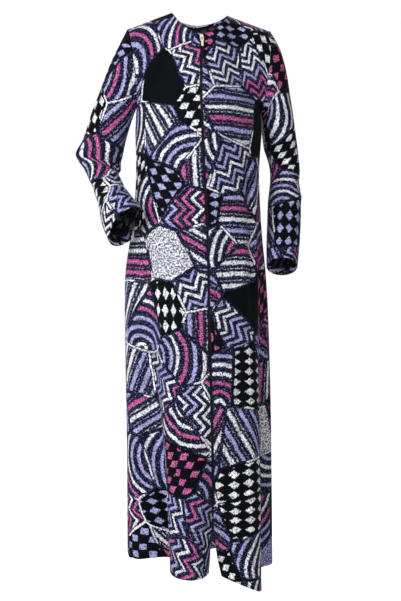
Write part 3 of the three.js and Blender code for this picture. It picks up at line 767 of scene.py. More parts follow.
# flat places on the fronts: x from the zip edge, y from the underarm level
RIGHT_FRONT_CREASES = [
    (-150, 10, -70, -80, 14, -2.5),
    (-160, -30, -90, -150, 16, 2.5),
    (-135, -170, -120, -420, 18, -3.5),
    (-95, -260, -85, -560, 20, 3),
    (-40, -300, -48, -700, 18, -2.5),
    (-20, -420, -24, -980, 14, 2),
    (-120, -470, -60, -560, 12, -2.5),
    (-130, -520, -70, -610, 12, 2),
    (-215, -640, -220, -1100, 16, -4),
    (-76, -440, -72, -1100, 11, 4),
    (-97, -430, -92, -1100, 10, -6),
    (-110, 130, -60, 40, 14, -2),
    (-80, 170, -140, 60, 12, 1.8),
]
LEFT_FRONT_CREASES = [
    (150, 10, 75, -90, 14, -2.5),
    (160, -30, 95, -160, 16, 2.5),
    (128, -120, 118, -520, 12, -6),
    (150, -140, 146, -520, 12, 4),
    (92, -250, 84, -620, 18, 2.5),
    (40, -280, 50, -760, 18, -2.5),
    (22, -460, 24, -980, 14, 2),
    (70, -540, 74, -1090, 12, -5),
    (52, -560, 54, -1090, 10, 3),
    (205, -600, 212, -1080, 14, -4),
    (112, 120, 66, 30, 14, -2),
    (84, 170, 140, 50, 12, 1.8),
]
BACK_CREASES = [
    (150, 0, 70, -100, 16, -3),
    (-150, 0, -70, -100, 16, -3),
    (95, 90, 40, -60, 18, 2.5),
    (-95, 90, -40, -60, 18, 2.5),
    (120, -150, 110, -480, 20, -4),
    (-120, -150, -112, -480, 20, -4),
    (60, -180, 54, -560, 22, 3.5),
    (-66, -200, -58, -600, 22, 3.5),
    (0, -160, 6, -520, 24, -3),
    (24, -520, 30, -1000, 20, 3),
    (-30, -560, -36, -1040, 20, 3),
    (-90, 150, 90, 150, 14, -1.5),
    (110, -620, 130, -1100, 16, -4),
    (-110, -640, -128, -1100, 16, -4),
]
# flat places on the sleeves: x round from the outer side (plus is the back on the left sleeve,
# the front on the right one), y from the shoulder tip down
LEFT_SLEEVE_CREASES = [
    (-120, 40, -30, 150, 12, -3.5),
    (-140, 90, -60, 210, 12, 3),
    (120, 60, 40, 180, 14, -3.5),
    (-110, 270, -20, 330, 12, -3.5),
    (-120, 310, -30, 370, 11, 3.5),
    (-60, 360, 40, 420, 12, -3),
    (110, 300, 20, 400, 13, -3.5),
    (100, 360, 10, 450, 12, 3),
    (-80, 430, -30, 590, 14, -2.5),
    (40, 440, 70, 590, 14, 2.5),
    (0, 60, 10, 240, 20, 2.5),
]
RIGHT_SLEEVE_CREASES = [
    (120, 40, 40, 150, 12, -3.5),
    (135, 90, 60, 230, 12, 3.5),
    (-120, 60, -40, 190, 14, -3.5),
    (130, 250, 30, 330, 11, -4.5),
    (135, 290, 35, 365, 10, 4),
    (130, 330, 20, 395, 10, -4.5),
    (125, 365, 30, 430, 10, 4),
    (-60, 330, 20, 400, 12, -3.5),
    (-80, 380, 10, 440, 12, 3),
    (90, 430, 20, 540, 12, -3),
    (40, 440, -20, 580, 13, 3),
    (-70, 450, -50, 600, 14, -3),
    (0, 70, -12, 260, 20, 2.5),
]

# %% Lay the five pieces
HEM_TURN = 20
ZIP_TURN = 13
NECK_TURN = 9
SEAM_TURN = 8
CUFF_TURN = 20
ARMHOLE_ZONE = 30


def behind_armhole(sign, sides, lowest):
    """Keep a turned edge from leaning out through the plane of its armhole."""
    outward = armhole_frame(sign)[2]

    def keep(normals, distances):
        lean = np.minimum(0, normals @ outward)
        near = smooth_step((ARMHOLE_ZONE - distances[sides]) / ARMHOLE_ZONE)
        above = distances["bottom"] > lowest
        return unit(normals - outward * (lean * near * above)[..., None])

    return keep


def flat_to_armhole(sign):
    outward = armhole_frame(sign)[2]

    def keep(normals, distances):
        near = smooth_step((ARMHOLE_ZONE - distances["bottom"]) / ARMHOLE_ZONE)
        return unit(normals - outward * ((normals @ outward) * near)[..., None])

    return keep


UNDERARM_ROW = {-1: SLIT_ROWS + SKIRT_ROWS[-1], 1: SLIT_ROWS + SKIRT_ROWS[1]}
front_surfaces = {
    -1: Surface(front_grids[-1], corners=(FRONT_COLUMNS - NECK_COLUMNS[-1],)),
    1: Surface(front_grids[1], corners=(NECK_COLUMNS[-1],)),
}
back_surface = Surface(
    back_grid,
    corners=(BACK_HALF_COLUMNS - NECK_COLUMNS[1], BACK_HALF_COLUMNS + NECK_COLUMNS[1]),
)
SKIRT_LENGTH = UNDERARM_HEIGHT - HEM_HEIGHT

laid = {}
laid["front_right"] = lay_cloth(
    front_surfaces[-1],
    {"left": SEAM_TURN, "right": ZIP_TURN, "bottom": HEM_TURN, "top": NECK_TURN},
    ("left", "right", "top"),
    crease_relief(RIGHT_FRONT_CREASES),
    (FRONT_COLUMNS, UNDERARM_ROW[-1]),
    behind_armhole(-1, "left", SKIRT_LENGTH),
)
laid["front_left"] = lay_cloth(
    front_surfaces[1],
    {"left": ZIP_TURN, "right": SEAM_TURN, "bottom": HEM_TURN, "top": NECK_TURN},
    ("left", "right", "top"),
    crease_relief(LEFT_FRONT_CREASES),
    (0, UNDERARM_ROW[-1]),
    behind_armhole(1, "right", SKIRT_LENGTH),
)


def behind_both_armholes(normals, distances):
    left_kept = behind_armhole(1, "left", SKIRT_LENGTH)(normals, distances)
    return behind_armhole(-1, "right", SKIRT_LENGTH)(left_kept, distances)


laid["back"] = lay_cloth(
    back_surface,
    {"left": SEAM_TURN, "right": SEAM_TURN, "bottom": HEM_TURN, "top": NECK_TURN},
    ("left", "right", "top"),
    crease_relief(BACK_CREASES),
    (BACK_HALF_COLUMNS, UNDERARM_ROW[1]),
    behind_both_armholes,
)
for sign, side, lines in ((-1, "right", RIGHT_SLEEVE_CREASES), (1, "left", LEFT_SLEEVE_CREASES)):
    laid[f"sleeve_{side}"] = lay_cloth(
        Surface(sleeve_grids[sign], closed=True),
        {"left": SEAM_TURN, "right": SEAM_TURN, "bottom": SEAM_TURN, "top": CUFF_TURN},
        ("left", "right", "bottom"),
        crease_relief(lines),
        (SLEEVE_COLUMNS / 2, 0),
        flat_to_armhole(sign),
    )

# where each piece was cut from the printed cloth, in millimetres
CUT_FROM = {
    "front_right": (710, 190),
    "front_left": (-260, 420),
    "back": (900, 300),
    "sleeve_right": (1500, -200),
    "sleeve_left": (2100, 150),
}
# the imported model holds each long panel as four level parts
LEVELS = ("hem", "skirt", "waist", "bodice")
SOLIDS = {name: (name,) if "sleeve" in name else [f"{name}_{level}" for level in LEVELS] for name in laid}
cloth = {}
for name, piece in laid.items():
    cloth[name] = grid_object(f"{name}_crepe", piece["points"], piece["cut"] + np.array(CUT_FROM[name]))
    give_thickness(cloth[name], CLOTH_THICKNESS)
    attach(cloth[name], "garment")
    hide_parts(*SOLIDS[name])
    print(name, piece["points"].shape[:2], "area", round(cloth_area(cloth[name]), 3), "square metres")


# %% [markdown]
# ## Short ways to wire a material
#
# Materials are built from nodes. Adding each one by hand takes four lines, so a small class keeps
# the wiring readable. An effect that several materials share is a node group: it is made once and
# placed in each material with its own values, as a sewing room keeps one pattern for many sizes.

# %% Helpers for nodes
class Wiring:
    """Short ways to add nodes to one tree; a value may be a plain number or another node's output."""

    def __init__(self, tree):
        self.tree = tree

    def add(self, kind, **settings):
        node = self.tree.nodes.new(kind)
        for name, value in settings.items():
            setattr(node, name, value)
        return node

    def feed(self, socket, value):
        if isinstance(value, bpy.types.NodeSocket):
            self.tree.links.new(value, socket)
        else:
            socket.default_value = value

    def math(self, operation, *values):
        node = self.add("ShaderNodeMath", operation=operation)
        for socket, value in zip(node.inputs, values):
            self.feed(socket, value)
        return node.outputs["Value"]

    def times(self, a, b):
        return self.math("MULTIPLY", a, b)

    def plus(self, a, b):
        return self.math("ADD", a, b)

    def vector(self, operation, a, b):
        node = self.add("ShaderNodeVectorMath", operation=operation)
        self.feed(node.inputs[0], a)
        self.feed(node.inputs[1], b)
        return node.outputs["Vector"]

    def step(self, value, low, high):
        """0 on the low side, 1 on the high side and smooth between."""
        node = self.add("ShaderNodeMapRange", interpolation_type="SMOOTHSTEP")
        self.feed(node.inputs["Value"], value)
        self.feed(node.inputs["From Min"], low)
        self.feed(node.inputs["From Max"], high)
        return node.outputs["Result"]

    def choose(self, gate, a, b):
        """A number: a where the gate is 0, b where it is 1."""
        node = self.add("ShaderNodeMix", data_type="FLOAT")
        self.feed(node.inputs[0], gate)
        self.feed(node.inputs[2], a)
        self.feed(node.inputs[3], b)
        return node.outputs[0]

    def blend(self, gate, a, b):
        """A colour: a where the gate is 0, b where it is 1."""
        node = self.add("ShaderNodeMix", data_type="RGBA")
        self.feed(node.inputs[0], gate)
        self.feed(node.inputs[6], a)
        self.feed(node.inputs[7], b)
        return node.outputs[2]

    def noise(self, place, scale, detail=2.0, roughness=0.5, output="Fac"):
        node = self.add("ShaderNodeTexNoise")
        self.feed(node.inputs["Vector"], place)
        self.feed(node.inputs["Scale"], scale)
        self.feed(node.inputs["Detail"], detail)
        self.feed(node.inputs["Roughness"], roughness)
        return node.outputs[output]

    def group(self, tree, **values):
        node = self.add("ShaderNodeGroup", node_tree=tree)
        for name, value in values.items():
            self.feed(node.inputs[name], value)
        return node.outputs


def new_group(name, inputs, outputs):
    """An empty node group: its wiring, its inputs by name and its end node."""
    tree = bpy.data.node_groups.new(name, "ShaderNodeTree")
    for socket, kind, value in inputs:
        item = tree.interface.new_socket(name=socket, in_out="INPUT", socket_type=f"NodeSocket{kind}")
        if value is not None:
            item.default_value = value
    for socket, kind in outputs:
        tree.interface.new_socket(name=socket, in_out="OUTPUT", socket_type=f"NodeSocket{kind}")
    wiring = Wiring(tree)
    return wiring, wiring.add("NodeGroupInput").outputs, wiring.add("NodeGroupOutput").inputs


def new_material(name):
    """A material: its wiring and its Principled shader's inputs."""
    material = bpy.data.materials.new(name)
    material.use_nodes = True
    wiring = Wiring(material.node_tree)
    return material, wiring, material.node_tree.nodes["Principled BSDF"].inputs


def cut_place(wiring):
    return wiring.add("ShaderNodeUVMap", uv_map="cut").outputs["UV"]


def bumped(wiring, height, distance, strength):
    node = wiring.add("ShaderNodeBump")
    wiring.feed(node.inputs["Height"], height)
    wiring.feed(node.inputs["Distance"], distance)
    wiring.feed(node.inputs["Strength"], strength)
    return node.outputs["Normal"]


# %% [markdown]
# ## The chalky print
#
# The print is a patchwork: blocks about a hand wide, each with its own stripes, zigzags, lozenges,
# ripples or solid chalk in white, lilac and magenta, or left plain. The ground is blue-black. It was
# printed on the flat cloth before cutting, so it runs straight off the edge of every piece. A
# painted image would be the usual way. Here a cell texture deals out the blocks, random numbers for
# each block pick its motif, turn and tints, and noise roughens every stroke until it looks like dry
# chalk. The motifs and their places are this lesson's own.

# %% Print motifs
PATCHES_PER_METRE = 9.0
WHITE = (0.86, 0.86, 0.92, 1)
LILAC = (0.36, 0.36, 0.70, 1)
MAGENTA = (0.50, 0.035, 0.25, 1)
NAVY = (0.0045, 0.0055, 0.018, 1)
BLACK = (0.0022, 0.0026, 0.0042, 1)
# above these chances a stripe is lilac, then magenta; below them it is white
LILAC_FROM = 0.42
MAGENTA_FROM = 0.76
# lengths on the cloth are metres here, as the noise scales are per metre
SWAY = (0.012, 0.012, 0)
ZIGZAG_RUN = 0.026
ZIGZAG_PITCH = 0.022
BAR_PITCH = 0.028
LOZENGE_SIZE = (0.012, 0.02)
RIPPLE_PITCH = 0.022
RIPPLE_MIDDLE = (0.07, 0.05, 0)
STROKE_SOFTNESS = 0.13
# noise scales: slow ones sway the blocks and break their outlines, fast ones make the chalk
SWAY_GRAIN = 11
LINE_GRAIN = 7.5
WORN_GRAIN = 45
RAGGED_GRAIN = 190
MOTTLE_GRAIN = 260
SPECK_GRAIN = 300
GRIT_GRAIN = 520
# a block is turned by one of this many steps round the circle
TURNS = 12
TURN_STEP = 0.5236


def stripe_paint(w, place, pitch, middle, half):
    """Stripes across a direction: how much paint, and the number of the stripe."""
    count = w.math("DIVIDE", place, pitch)
    part = w.math("FRACT", count)
    aside = w.math("ABSOLUTE", w.math("SUBTRACT", part, middle))
    return w.step(aside, half + STROKE_SOFTNESS, half - STROKE_SOFTNESS), w.math("FLOOR", count)


def build_print():
    w, given, result = new_group(
        "chalk_print",
        [("Place", "Vector", None)],
        [("Color", "Color"), ("Paint", "Float")],
    )
    place = given["Place"]
    sway = w.vector("SUBTRACT", w.noise(place, SWAY_GRAIN, 2, 0.5, "Color"), (0.5, 0.5, 0.5))
    drawn = w.vector("ADD", place, w.vector("MULTIPLY", sway, SWAY))

    # blocks, and for each one three random numbers
    cells = []
    for feature in ("F1", "DISTANCE_TO_EDGE"):
        cell = w.add("ShaderNodeTexVoronoi", voronoi_dimensions="2D", feature=feature)
        w.feed(cell.inputs["Vector"], drawn)
        w.feed(cell.inputs["Scale"], PATCHES_PER_METRE)
        w.feed(cell.inputs["Randomness"], 0.9)
        cells.append(cell.outputs)
    near, edges = cells
    chance = w.add("ShaderNodeSeparateColor")
    w.feed(chance.inputs["Color"], near["Color"])
    motif, turn_chance, tint_chance = (chance.outputs[name] for name in ("Red", "Green", "Blue"))
    rotate = w.add("ShaderNodeVectorRotate", rotation_type="Z_AXIS")
    w.feed(rotate.inputs["Vector"], w.vector("SUBTRACT", drawn, near["Position"]))
    turn_number = w.math("FLOOR", w.times(turn_chance, TURNS))
    w.feed(rotate.inputs["Angle"], w.times(turn_number, TURN_STEP))
    axes = w.add("ShaderNodeSeparateXYZ")
    w.feed(axes.inputs["Vector"], rotate.outputs["Vector"])
    u, v = axes.outputs["X"], axes.outputs["Y"]

    # zigzags, bars, lozenges, ripples
    zigzag = w.plus(v, w.math("PINGPONG", u, ZIGZAG_RUN))
    zig_paint, zig_count = stripe_paint(w, zigzag, ZIGZAG_PITCH, 0.5, 0.24)
    bar_paint, bar_count = stripe_paint(w, v, BAR_PITCH, 0.36, 0.21)
    thin_paint, _ = stripe_paint(w, v, BAR_PITCH, 0.82, 0.04)
    bars = w.math("MAXIMUM", bar_paint, thin_paint)
    sides = zip((u, v), LOZENGE_SIZE)
    slopes = [w.math("DIVIDE", w.math("PINGPONG", axis, size), size) for axis, size in sides]
    slope = w.plus(*slopes)
    lozenges = w.step(slope, 1.0, 0.62)
    away = w.add("ShaderNodeVectorMath", operation="LENGTH")
    w.feed(away.inputs[0], w.vector("ADD", rotate.outputs["Vector"], RIPPLE_MIDDLE))
    ripple_paint, ripple_count = stripe_paint(w, away.outputs["Value"], RIPPLE_PITCH, 0.5, 0.23)

    # the motif of this block: zigzags, or the last row whose chance the block's number passes. The
    # lower tint range makes magenta rarer in solid chalk. Plain and lozenge blocks have no specks.
    # A row is the chance, the paint, the stripe's number, the tint range and the share of specks.
    paint, count, tint_range, stray = zig_paint, zig_count, 1.0, 0.6
    for low, next_paint, next_count, next_range, next_stray in (
        (0.23, bars, bar_count, 1.0, 0.6),
        (0.46, lozenges, 0.0, 1.0, 0.0),
        (0.62, 0.0, 0.0, 1.0, 0.0),
        (0.70, 0.8, 0.0, 0.9, 0.6),
        (0.76, ripple_paint, ripple_count, 1.0, 0.6),
    ):
        gate = w.math("GREATER_THAN", motif, low)
        paint = w.choose(gate, paint, next_paint)
        count = w.choose(gate, count, next_count)
        tint_range = w.choose(gate, tint_range, next_range)
        stray = w.choose(gate, stray, next_stray)
    dice = w.add("ShaderNodeTexWhiteNoise", noise_dimensions="2D")
    seed = w.add("ShaderNodeCombineXYZ")
    w.feed(seed.inputs["X"], count)
    w.feed(seed.inputs["Y"], tint_chance)
    w.feed(dice.inputs["Vector"], seed.outputs["Vector"])
    tints = w.add("ShaderNodeValToRGB")
    tints.color_ramp.interpolation = "CONSTANT"
    tints.color_ramp.elements[0].color = WHITE
    tints.color_ramp.elements[1].position = LILAC_FROM
    tints.color_ramp.elements[1].color = LILAC
    tints.color_ramp.elements.new(MAGENTA_FROM).color = MAGENTA
    w.feed(tints.inputs["Fac"], w.times(dice.outputs["Value"], tint_range))

    # a dark gap and a chalk line between blocks
    border = edges["Distance"]
    paint = w.times(paint, w.step(border, 0.025, 0.05))
    drawn_line = w.step(w.noise(place, LINE_GRAIN, 1), 0.53, 0.57)
    line = w.times(w.step(border, 0.04, 0.01), drawn_line)
    tint = w.blend(w.step(line, 0.3, 0.6), tints.outputs["Color"], WHITE)
    paint = w.math("MAXIMUM", paint, line)

    # dry chalk: ragged strokes, bare flecks and paler mottles in the paint, stray specks on the ground
    ragged = w.noise(place, RAGGED_GRAIN, 3, 0.7)
    grit = w.noise(place, GRIT_GRAIN, 1, 0.6)
    dry = w.plus(w.times(ragged, 1.3), w.times(grit, 0.8))
    solid = w.step(w.plus(w.times(paint, 0.41), dry), 1.33, 1.43)
    navy_block = w.step(stray, 0.2, 0.4)
    solid = w.times(solid, w.math("MAXIMUM", w.step(paint, 0.02, 0.2), navy_block))
    specks = w.times(w.step(w.noise(place, SPECK_GRAIN, 1, 0.5), 0.62, 0.7), stray)
    shown = w.math("MAXIMUM", solid, specks)
    patchy = w.step(w.noise(place, WORN_GRAIN, 2, 0.5), 0.25, 0.75)
    ground = w.blend(navy_block, BLACK, NAVY)
    mottle = w.times(w.step(w.noise(place, MOTTLE_GRAIN, 2, 0.6), 0.48, 0.6), 0.3)
    tint = w.blend(mottle, tint, WHITE)
    faded = w.blend(w.times(patchy, 0.3), tint, ground)
    speck_only = w.math("GREATER_THAN", specks, solid)
    w.feed(result["Color"], w.blend(shown, ground, w.blend(speck_only, faded, LILAC)))
    w.feed(result["Paint"], shown)
    return w.tree


chalk_print = build_print()
print("print nodes:", len(chalk_print.nodes))

# %% [markdown]
# ## Crepe
#
# Crepe is woven from hard-twisted yarn, which kinks as it comes off the loom. That gives a dull
# face with a fine pebble. A real weave could be modelled thread by thread, but from a step away
# only the pebble and a soft sheen on the folds show, so a bump does both. The reverse takes the
# dye less well, so the print shows through it faintly.

# %% Crepe, face and reverse
REVERSE_COLOR = (0.016, 0.016, 0.028, 1)


def build_pebble():
    w, given, result = new_group("pebble", [("Place", "Vector", None), ("Grains per metre", "Float", 900.0)],
                                 [("Height", "Float")])
    fine = w.noise(given["Place"], given["Grains per metre"], 2, 0.6)
    long_grain = w.vector("MULTIPLY", given["Place"], (1, 0.35, 1))
    kinks = w.noise(long_grain, w.times(given["Grains per metre"], 0.6), 1, 0.5)
    w.feed(result["Height"], w.plus(w.times(fine, 0.6), w.times(kinks, 0.4)))
    return w.tree


pebble = build_pebble()


def crepe_material(name, show_through, roughness):
    """show_through is how strongly the print shows: 1 on the face, less on the reverse."""
    material, w, shader = new_material(name)
    place = cut_place(w)
    printed = w.group(chalk_print, Place=place)
    color = printed["Color"]
    if show_through < 1:
        color = w.blend(show_through, REVERSE_COLOR, color)
    w.feed(shader["Base Color"], color)
    w.feed(shader["Roughness"], w.choose(printed["Paint"], roughness, roughness + 0.08))
    shader["Sheen Weight"].default_value = 0.008
    shader["Sheen Roughness"].default_value = 0.45
    shader["Specular IOR Level"].default_value = 0.04
    grain = w.group(pebble, Place=place)["Height"]
    w.feed(shader["Normal"], bumped(w, grain, 0.0005, 0.55))
    return material


crepe_face = crepe_material("crepe_face", 1.0, 0.8)
crepe_reverse = crepe_material("crepe_reverse", 0.22, 0.88)
for obj in cloth.values():
    obj.data.materials.append(crepe_face)
    obj.data.materials.append(crepe_reverse)

# %% [markdown]
# ## Zip tapes and coil
#
# The zip is a plain coil zip let in behind the two front edges. Two woven tapes lie under the
# turned crepe, and along their inner edges runs the nylon coil, whose loops lock together. A
# picture of teeth on a strip would do from far away. Real small loops give the black line down the
# front its own rough glint, so each loop is a flattened bead, and there are many of them.

# %% Lay the tapes behind the front edges
TAPE_WIDTH = 14
TAPE_DEPTH = 1.7
TAPE_THICKNESS = 0.8
TAPE_HALF_GAP = 0.5
TAPE_HALF_GAP_OPEN = 1.6
TAPE_OPEN_ABOVE = -89
TAPE_COLUMNS = 9
TAPE_ROWS = 280
LINE_POINTS = 600


def edge_places(sign, count):
    """Places along a zip edge, from the foot of the zip to the neck, and the edge column."""
    surface = front_surfaces[sign]
    return surface, 0.0 if sign > 0 else float(surface.columns), np.linspace(SLIT_ROWS, surface.rows, count)


def lay_tape(sign):
    surface, edge, up = edge_places(sign, TAPE_ROWS)
    run, _ = surface.slopes(np.full_like(up, edge), up)
    step = np.linalg.norm(run, axis=-1)
    height = surface.at(np.full_like(up, edge), up)[:, 2]
    half_gap = np.where(height > TAPE_OPEN_ABOVE, TAPE_HALF_GAP_OPEN, TAPE_HALF_GAP)
    share = np.linspace(0, 1, TAPE_COLUMNS)[None]
    inner = (half_gap - FRONT_EDGE_HALF_GAP)[:, None]
    outer = TAPE_WIDTH - FRONT_EDGE_HALF_GAP
    reach = inner * (1 - share) + outer * share
    across = edge + sign * np.maximum(reach, 0) / step[:, None]
    along_edge = np.broadcast_to(up[:, None], across.shape)
    points = surface.at(across, along_edge)
    run, rise = surface.slopes(across, along_edge)
    points = points + sign * unit(run) * np.minimum(reach, 0)[..., None]
    points = points - unit(np.cross(run, rise)) * TAPE_DEPTH
    length = length_along(points[:, 0])
    cut = np.stack([reach, np.broadcast_to(length[:, None], reach.shape)], axis=-1)
    if sign < 0:
        points = points[:, ::-1]
        cut = cut[:, ::-1]
    return points, cut, length[-1]


tapes = {}
tape_lengths = {}
for sign, side in ((-1, "right"), (1, "left")):
    points, cut, tape_lengths[side] = lay_tape(sign)
    tape = grid_object(f"zip_tape_{side}_woven", points, cut)
    give_thickness(tape, TAPE_THICKNESS)
    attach(tape, "garment")
    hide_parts(f"zip_tape_{side}")
    tapes[side] = tape
    print(tape.name, "length", round(tape_lengths[side], 1), "mm, area", round(cloth_area(tape), 4))

# %% The line of the closed zip
_, _, line_up = edge_places(1, LINE_POINTS)
line_left = front_surfaces[1].at(np.zeros_like(line_up), line_up)
line_right = front_surfaces[-1].at(np.full_like(line_up, FRONT_COLUMNS), line_up)
line_middle = (line_left + line_right) / 2
line_length = length_along(line_middle)


def along_line(line, length, at):
    """Points of a line, and the directions in which it runs, at the given lengths along it."""
    def read(places):
        return np.stack([np.interp(places, length, line[:, axis]) for axis in range(line.shape[1])], axis=-1)

    return read(at), unit(read(at + 1)[:, :3] - read(at - 1)[:, :3])


def zip_places(at):
    """Middle, across, up and out at lengths along the zip, measured from its foot."""
    middle, upward = along_line(line_middle, line_length, at)
    left, _ = along_line(line_left, line_length, at)
    right, _ = along_line(line_right, line_length, at)
    across = unit(left - right)
    out = unit(np.cross(across, upward))
    return middle, across, np.cross(out, across), out


def beads(name, places, axes, size, material):
    """One small faceted bead at each place, with its own three axes, all in one piece.

    An Array modifier makes the copies, and then each copy is moved to its own place.
    """
    bm = bmesh.new()
    bmesh.ops.create_icosphere(bm, subdivisions=1, radius=1)
    single = finished_mesh("bead", bm)
    holder = linked("bead", single)
    copies = holder.modifiers.new("copies", "ARRAY")
    copies.count = len(places)
    copies.use_relative_offset = False
    mesh = bpy.data.meshes.new_from_object(holder.evaluated_get(bpy.context.evaluated_depsgraph_get()))
    bead = np.array([vertex.co for vertex in single.vertices]) * size
    turned = sum(bead[None, :, axis, None] * axes[axis][:, None] for axis in range(3))
    mesh.vertices.foreach_set("co", ((places[:, None] + turned) * MM).ravel())
    mesh.shade_smooth()
    mesh.materials.append(material)
    mesh.update()
    bpy.data.objects.remove(holder)
    obj = linked(name, mesh)
    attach(obj, "garment")


# %% Woven tape, nylon and thread
def build_weave():
    w, given, result = new_group("weave", [("Place", "Vector", None), ("Ribs per metre", "Float", 1400.0)],
                                 [("Height", "Float"), ("Shade", "Float")])
    axes = w.add("ShaderNodeSeparateXYZ")
    w.feed(axes.inputs["Vector"], given["Place"])
    x_ribs, y_ribs = (w.times(axes.outputs[axis], given["Ribs per metre"]) for axis in "XY")
    lean = w.math("PINGPONG", x_ribs, 3.0)
    ribs = w.math("PINGPONG", w.plus(y_ribs, lean), 1.0)
    uneven = w.noise(given["Place"], 380, 2, 0.6)
    w.feed(result["Height"], w.plus(w.times(ribs, 0.7), w.times(uneven, 0.3)))
    # Shade is half the rib profile, which paints shade into the grooves and a paler tone on the rib tops, and
    # half uneven yarn tone
    w.feed(result["Shade"], w.plus(w.times(ribs, 0.5), w.times(uneven, 0.5)))
    return w.tree


weave = build_weave()


def woven_material(name, dark, pale, roughness):
    material, w, shader = new_material(name)
    woven = w.group(weave, Place=cut_place(w))
    # the dark colour is painted shade in the grooves and the pale one the paler rib tops, mixed with uneven
    # yarn tone
    w.feed(shader["Base Color"], w.blend(woven["Shade"], dark, pale))
    w.feed(shader["Roughness"], w.choose(woven["Shade"], roughness, roughness + 0.1))
    shader["Sheen Weight"].default_value = 0.02
    shader["Specular IOR Level"].default_value = 0.15
    w.feed(shader["Normal"], bumped(w, woven["Height"], 0.0003, 0.7))
    return material


def moulded_material(name, dark, pale, roughness, grain):
    """Nylon or thread: a small uneven grain on Object coordinates."""
    material, w, shader = new_material(name)
    place = w.add("ShaderNodeTexCoord").outputs["Object"]
    height = w.group(pebble, **{"Place": place, "Grains per metre": grain})["Height"]
    # colour follows the grain's height, the same height as the bump: painted shade in the pits and a paler
    # tone on the raised grain, with uneven tone besides
    w.feed(shader["Base Color"], w.blend(height, dark, pale))
    w.feed(shader["Roughness"], w.choose(height, roughness - 0.06, roughness + 0.06))
    shader["Specular IOR Level"].default_value = 0.2
    w.feed(shader["Normal"], bumped(w, height, 0.0002, 0.4))
    return material


tape_cloth = woven_material("tape_cloth", (0.003, 0.003, 0.005, 1), (0.014, 0.014, 0.02, 1), 0.75)
coil_nylon = moulded_material("coil_nylon", (0.002, 0.002, 0.003, 1), (0.008, 0.008, 0.011, 1), 0.42, 1500.0)
dark_thread = moulded_material("dark_thread", (0.012, 0.012, 0.02, 1), (0.05, 0.05, 0.075, 1), 0.6, 2600.0)
for tape in tapes.values():
    tape.data.materials.append(tape_cloth)

# %% Thread the coil
COIL_PITCH = 1.5
COIL_FOOT = -1273
COIL_TOP = -82
LOOP_SIZE = (1.75, 0.38, 0.6)
LOOP_ASIDE = 1.45
LOOP_DEPTH = 1.35

foot_length, top_length = np.interp([COIL_FOOT, COIL_TOP], line_middle[:, 2], line_length)
loop_at = np.arange(foot_length, top_length, COIL_PITCH / 2)
middle, across, upward, out = zip_places(loop_at)
side_of = np.where(np.arange(len(loop_at)) % 2, 1, -1)[:, None]
centres = middle + across * side_of * LOOP_ASIDE - out * LOOP_DEPTH
beads("zip_coil", centres, (across, upward, out), LOOP_SIZE, coil_nylon)
print("coil loops:", len(loop_at))

# %% [markdown]
# ## Pale metal
#
# The slider, its pull tab and the three stops are zinc with a pale gold plating. Handling rubs the
# plating to a soft haze, so its gloss varies and faint scratches cross it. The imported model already
# has these pieces at their true shape, and the pull tab has to swing with its own body, so they
# stay and only get their metal.

# %% Plated metal
RUBBED_GOLD = (0.88, 0.80, 0.63, 1)
PALE_GOLD = (0.92, 0.88, 0.80, 1)
# finest along x, so the scratches run up and down
SCRATCH_GRAIN = (2200, 300, 260)


def plated_metal():
    material, w, shader = new_material("pale_plating")
    place = w.add("ShaderNodeTexCoord").outputs["Object"]
    haze = w.noise(place, 260, 3, 0.6)
    scratches = w.noise(w.vector("MULTIPLY", place, SCRATCH_GRAIN), 1.0, 2, 0.5)
    worn = w.step(w.plus(w.times(haze, 0.6), w.times(scratches, 0.4)), 0.4, 0.62)
    w.feed(shader["Base Color"], w.blend(worn, RUBBED_GOLD, PALE_GOLD))
    shader["Metallic"].default_value = 1.0
    w.feed(shader["Roughness"], w.choose(worn, 0.2, 0.36))
    w.feed(shader["Normal"], bumped(w, scratches, 0.00008, 0.4))
    return material


pale_plating = plated_metal()
for node in ("zip_slider", "zip_pull_tab", "zip_top_stop_right", "zip_top_stop_left", "zip_bottom_stop"):
    for slot in bpy.data.objects[node].material_slots:
        slot.material = pale_plating

# %% [markdown]
# ## Stitches
#
# One row of stitches holds every turned edge: round the neck, beside the zip and slit, round the
# hem and the cuffs. A line texture could stand for them. Small raised stitches, each a flattened
# bead of thread, dimple the light the way real ones do, and they cost little.

# %% Rows of stitches
STITCH_PITCH = 3.2
STITCH_SIZE = (1.15, 0.24, 0.2)
STITCH_LIFT = 0.05
NECK_STITCH = 6.5
ZIP_STITCH = 9.5
HEM_STITCH = 18
CUFF_STITCH = 18


def stitch_line(piece, side, distance, span):
    """Points and normals at one distance from an edge, between two places along it."""
    rows, columns = piece["rows"], piece["columns"]
    apart = piece["distances"][side][rows, columns]
    values = np.concatenate([piece["points"], piece["normals"]], axis=-1)[rows, columns]
    places = piece["up"]
    if side in ("bottom", "top"):
        apart = apart.T
        values = values.transpose(1, 0, 2)
        places = piece["across"]
    if side in ("right", "top"):
        apart = apart[:, ::-1]
        values = values[:, ::-1]
    kept = np.flatnonzero((places >= span[0]) & (places <= span[1]))
    return np.array([[np.interp(distance, apart[k], values[k, :, axis]) for axis in range(6)] for k in kept])


def sew(line, closed=False):
    """Places and axes of the stitches along a line, each lying on the cloth."""
    if closed:
        line = np.concatenate([line, line[:1]])
    length = length_along(line[:, :3])
    count = int(length[-1] / STITCH_PITCH)
    read, forward = along_line(line, length, (np.arange(count) + 0.5) * length[-1] / count)
    out = unit(read[:, 3:])
    aside = unit(np.cross(out, forward))
    return np.concatenate([read[:, :3] + out * STITCH_LIFT, forward, aside, np.cross(forward, aside)], axis=1)


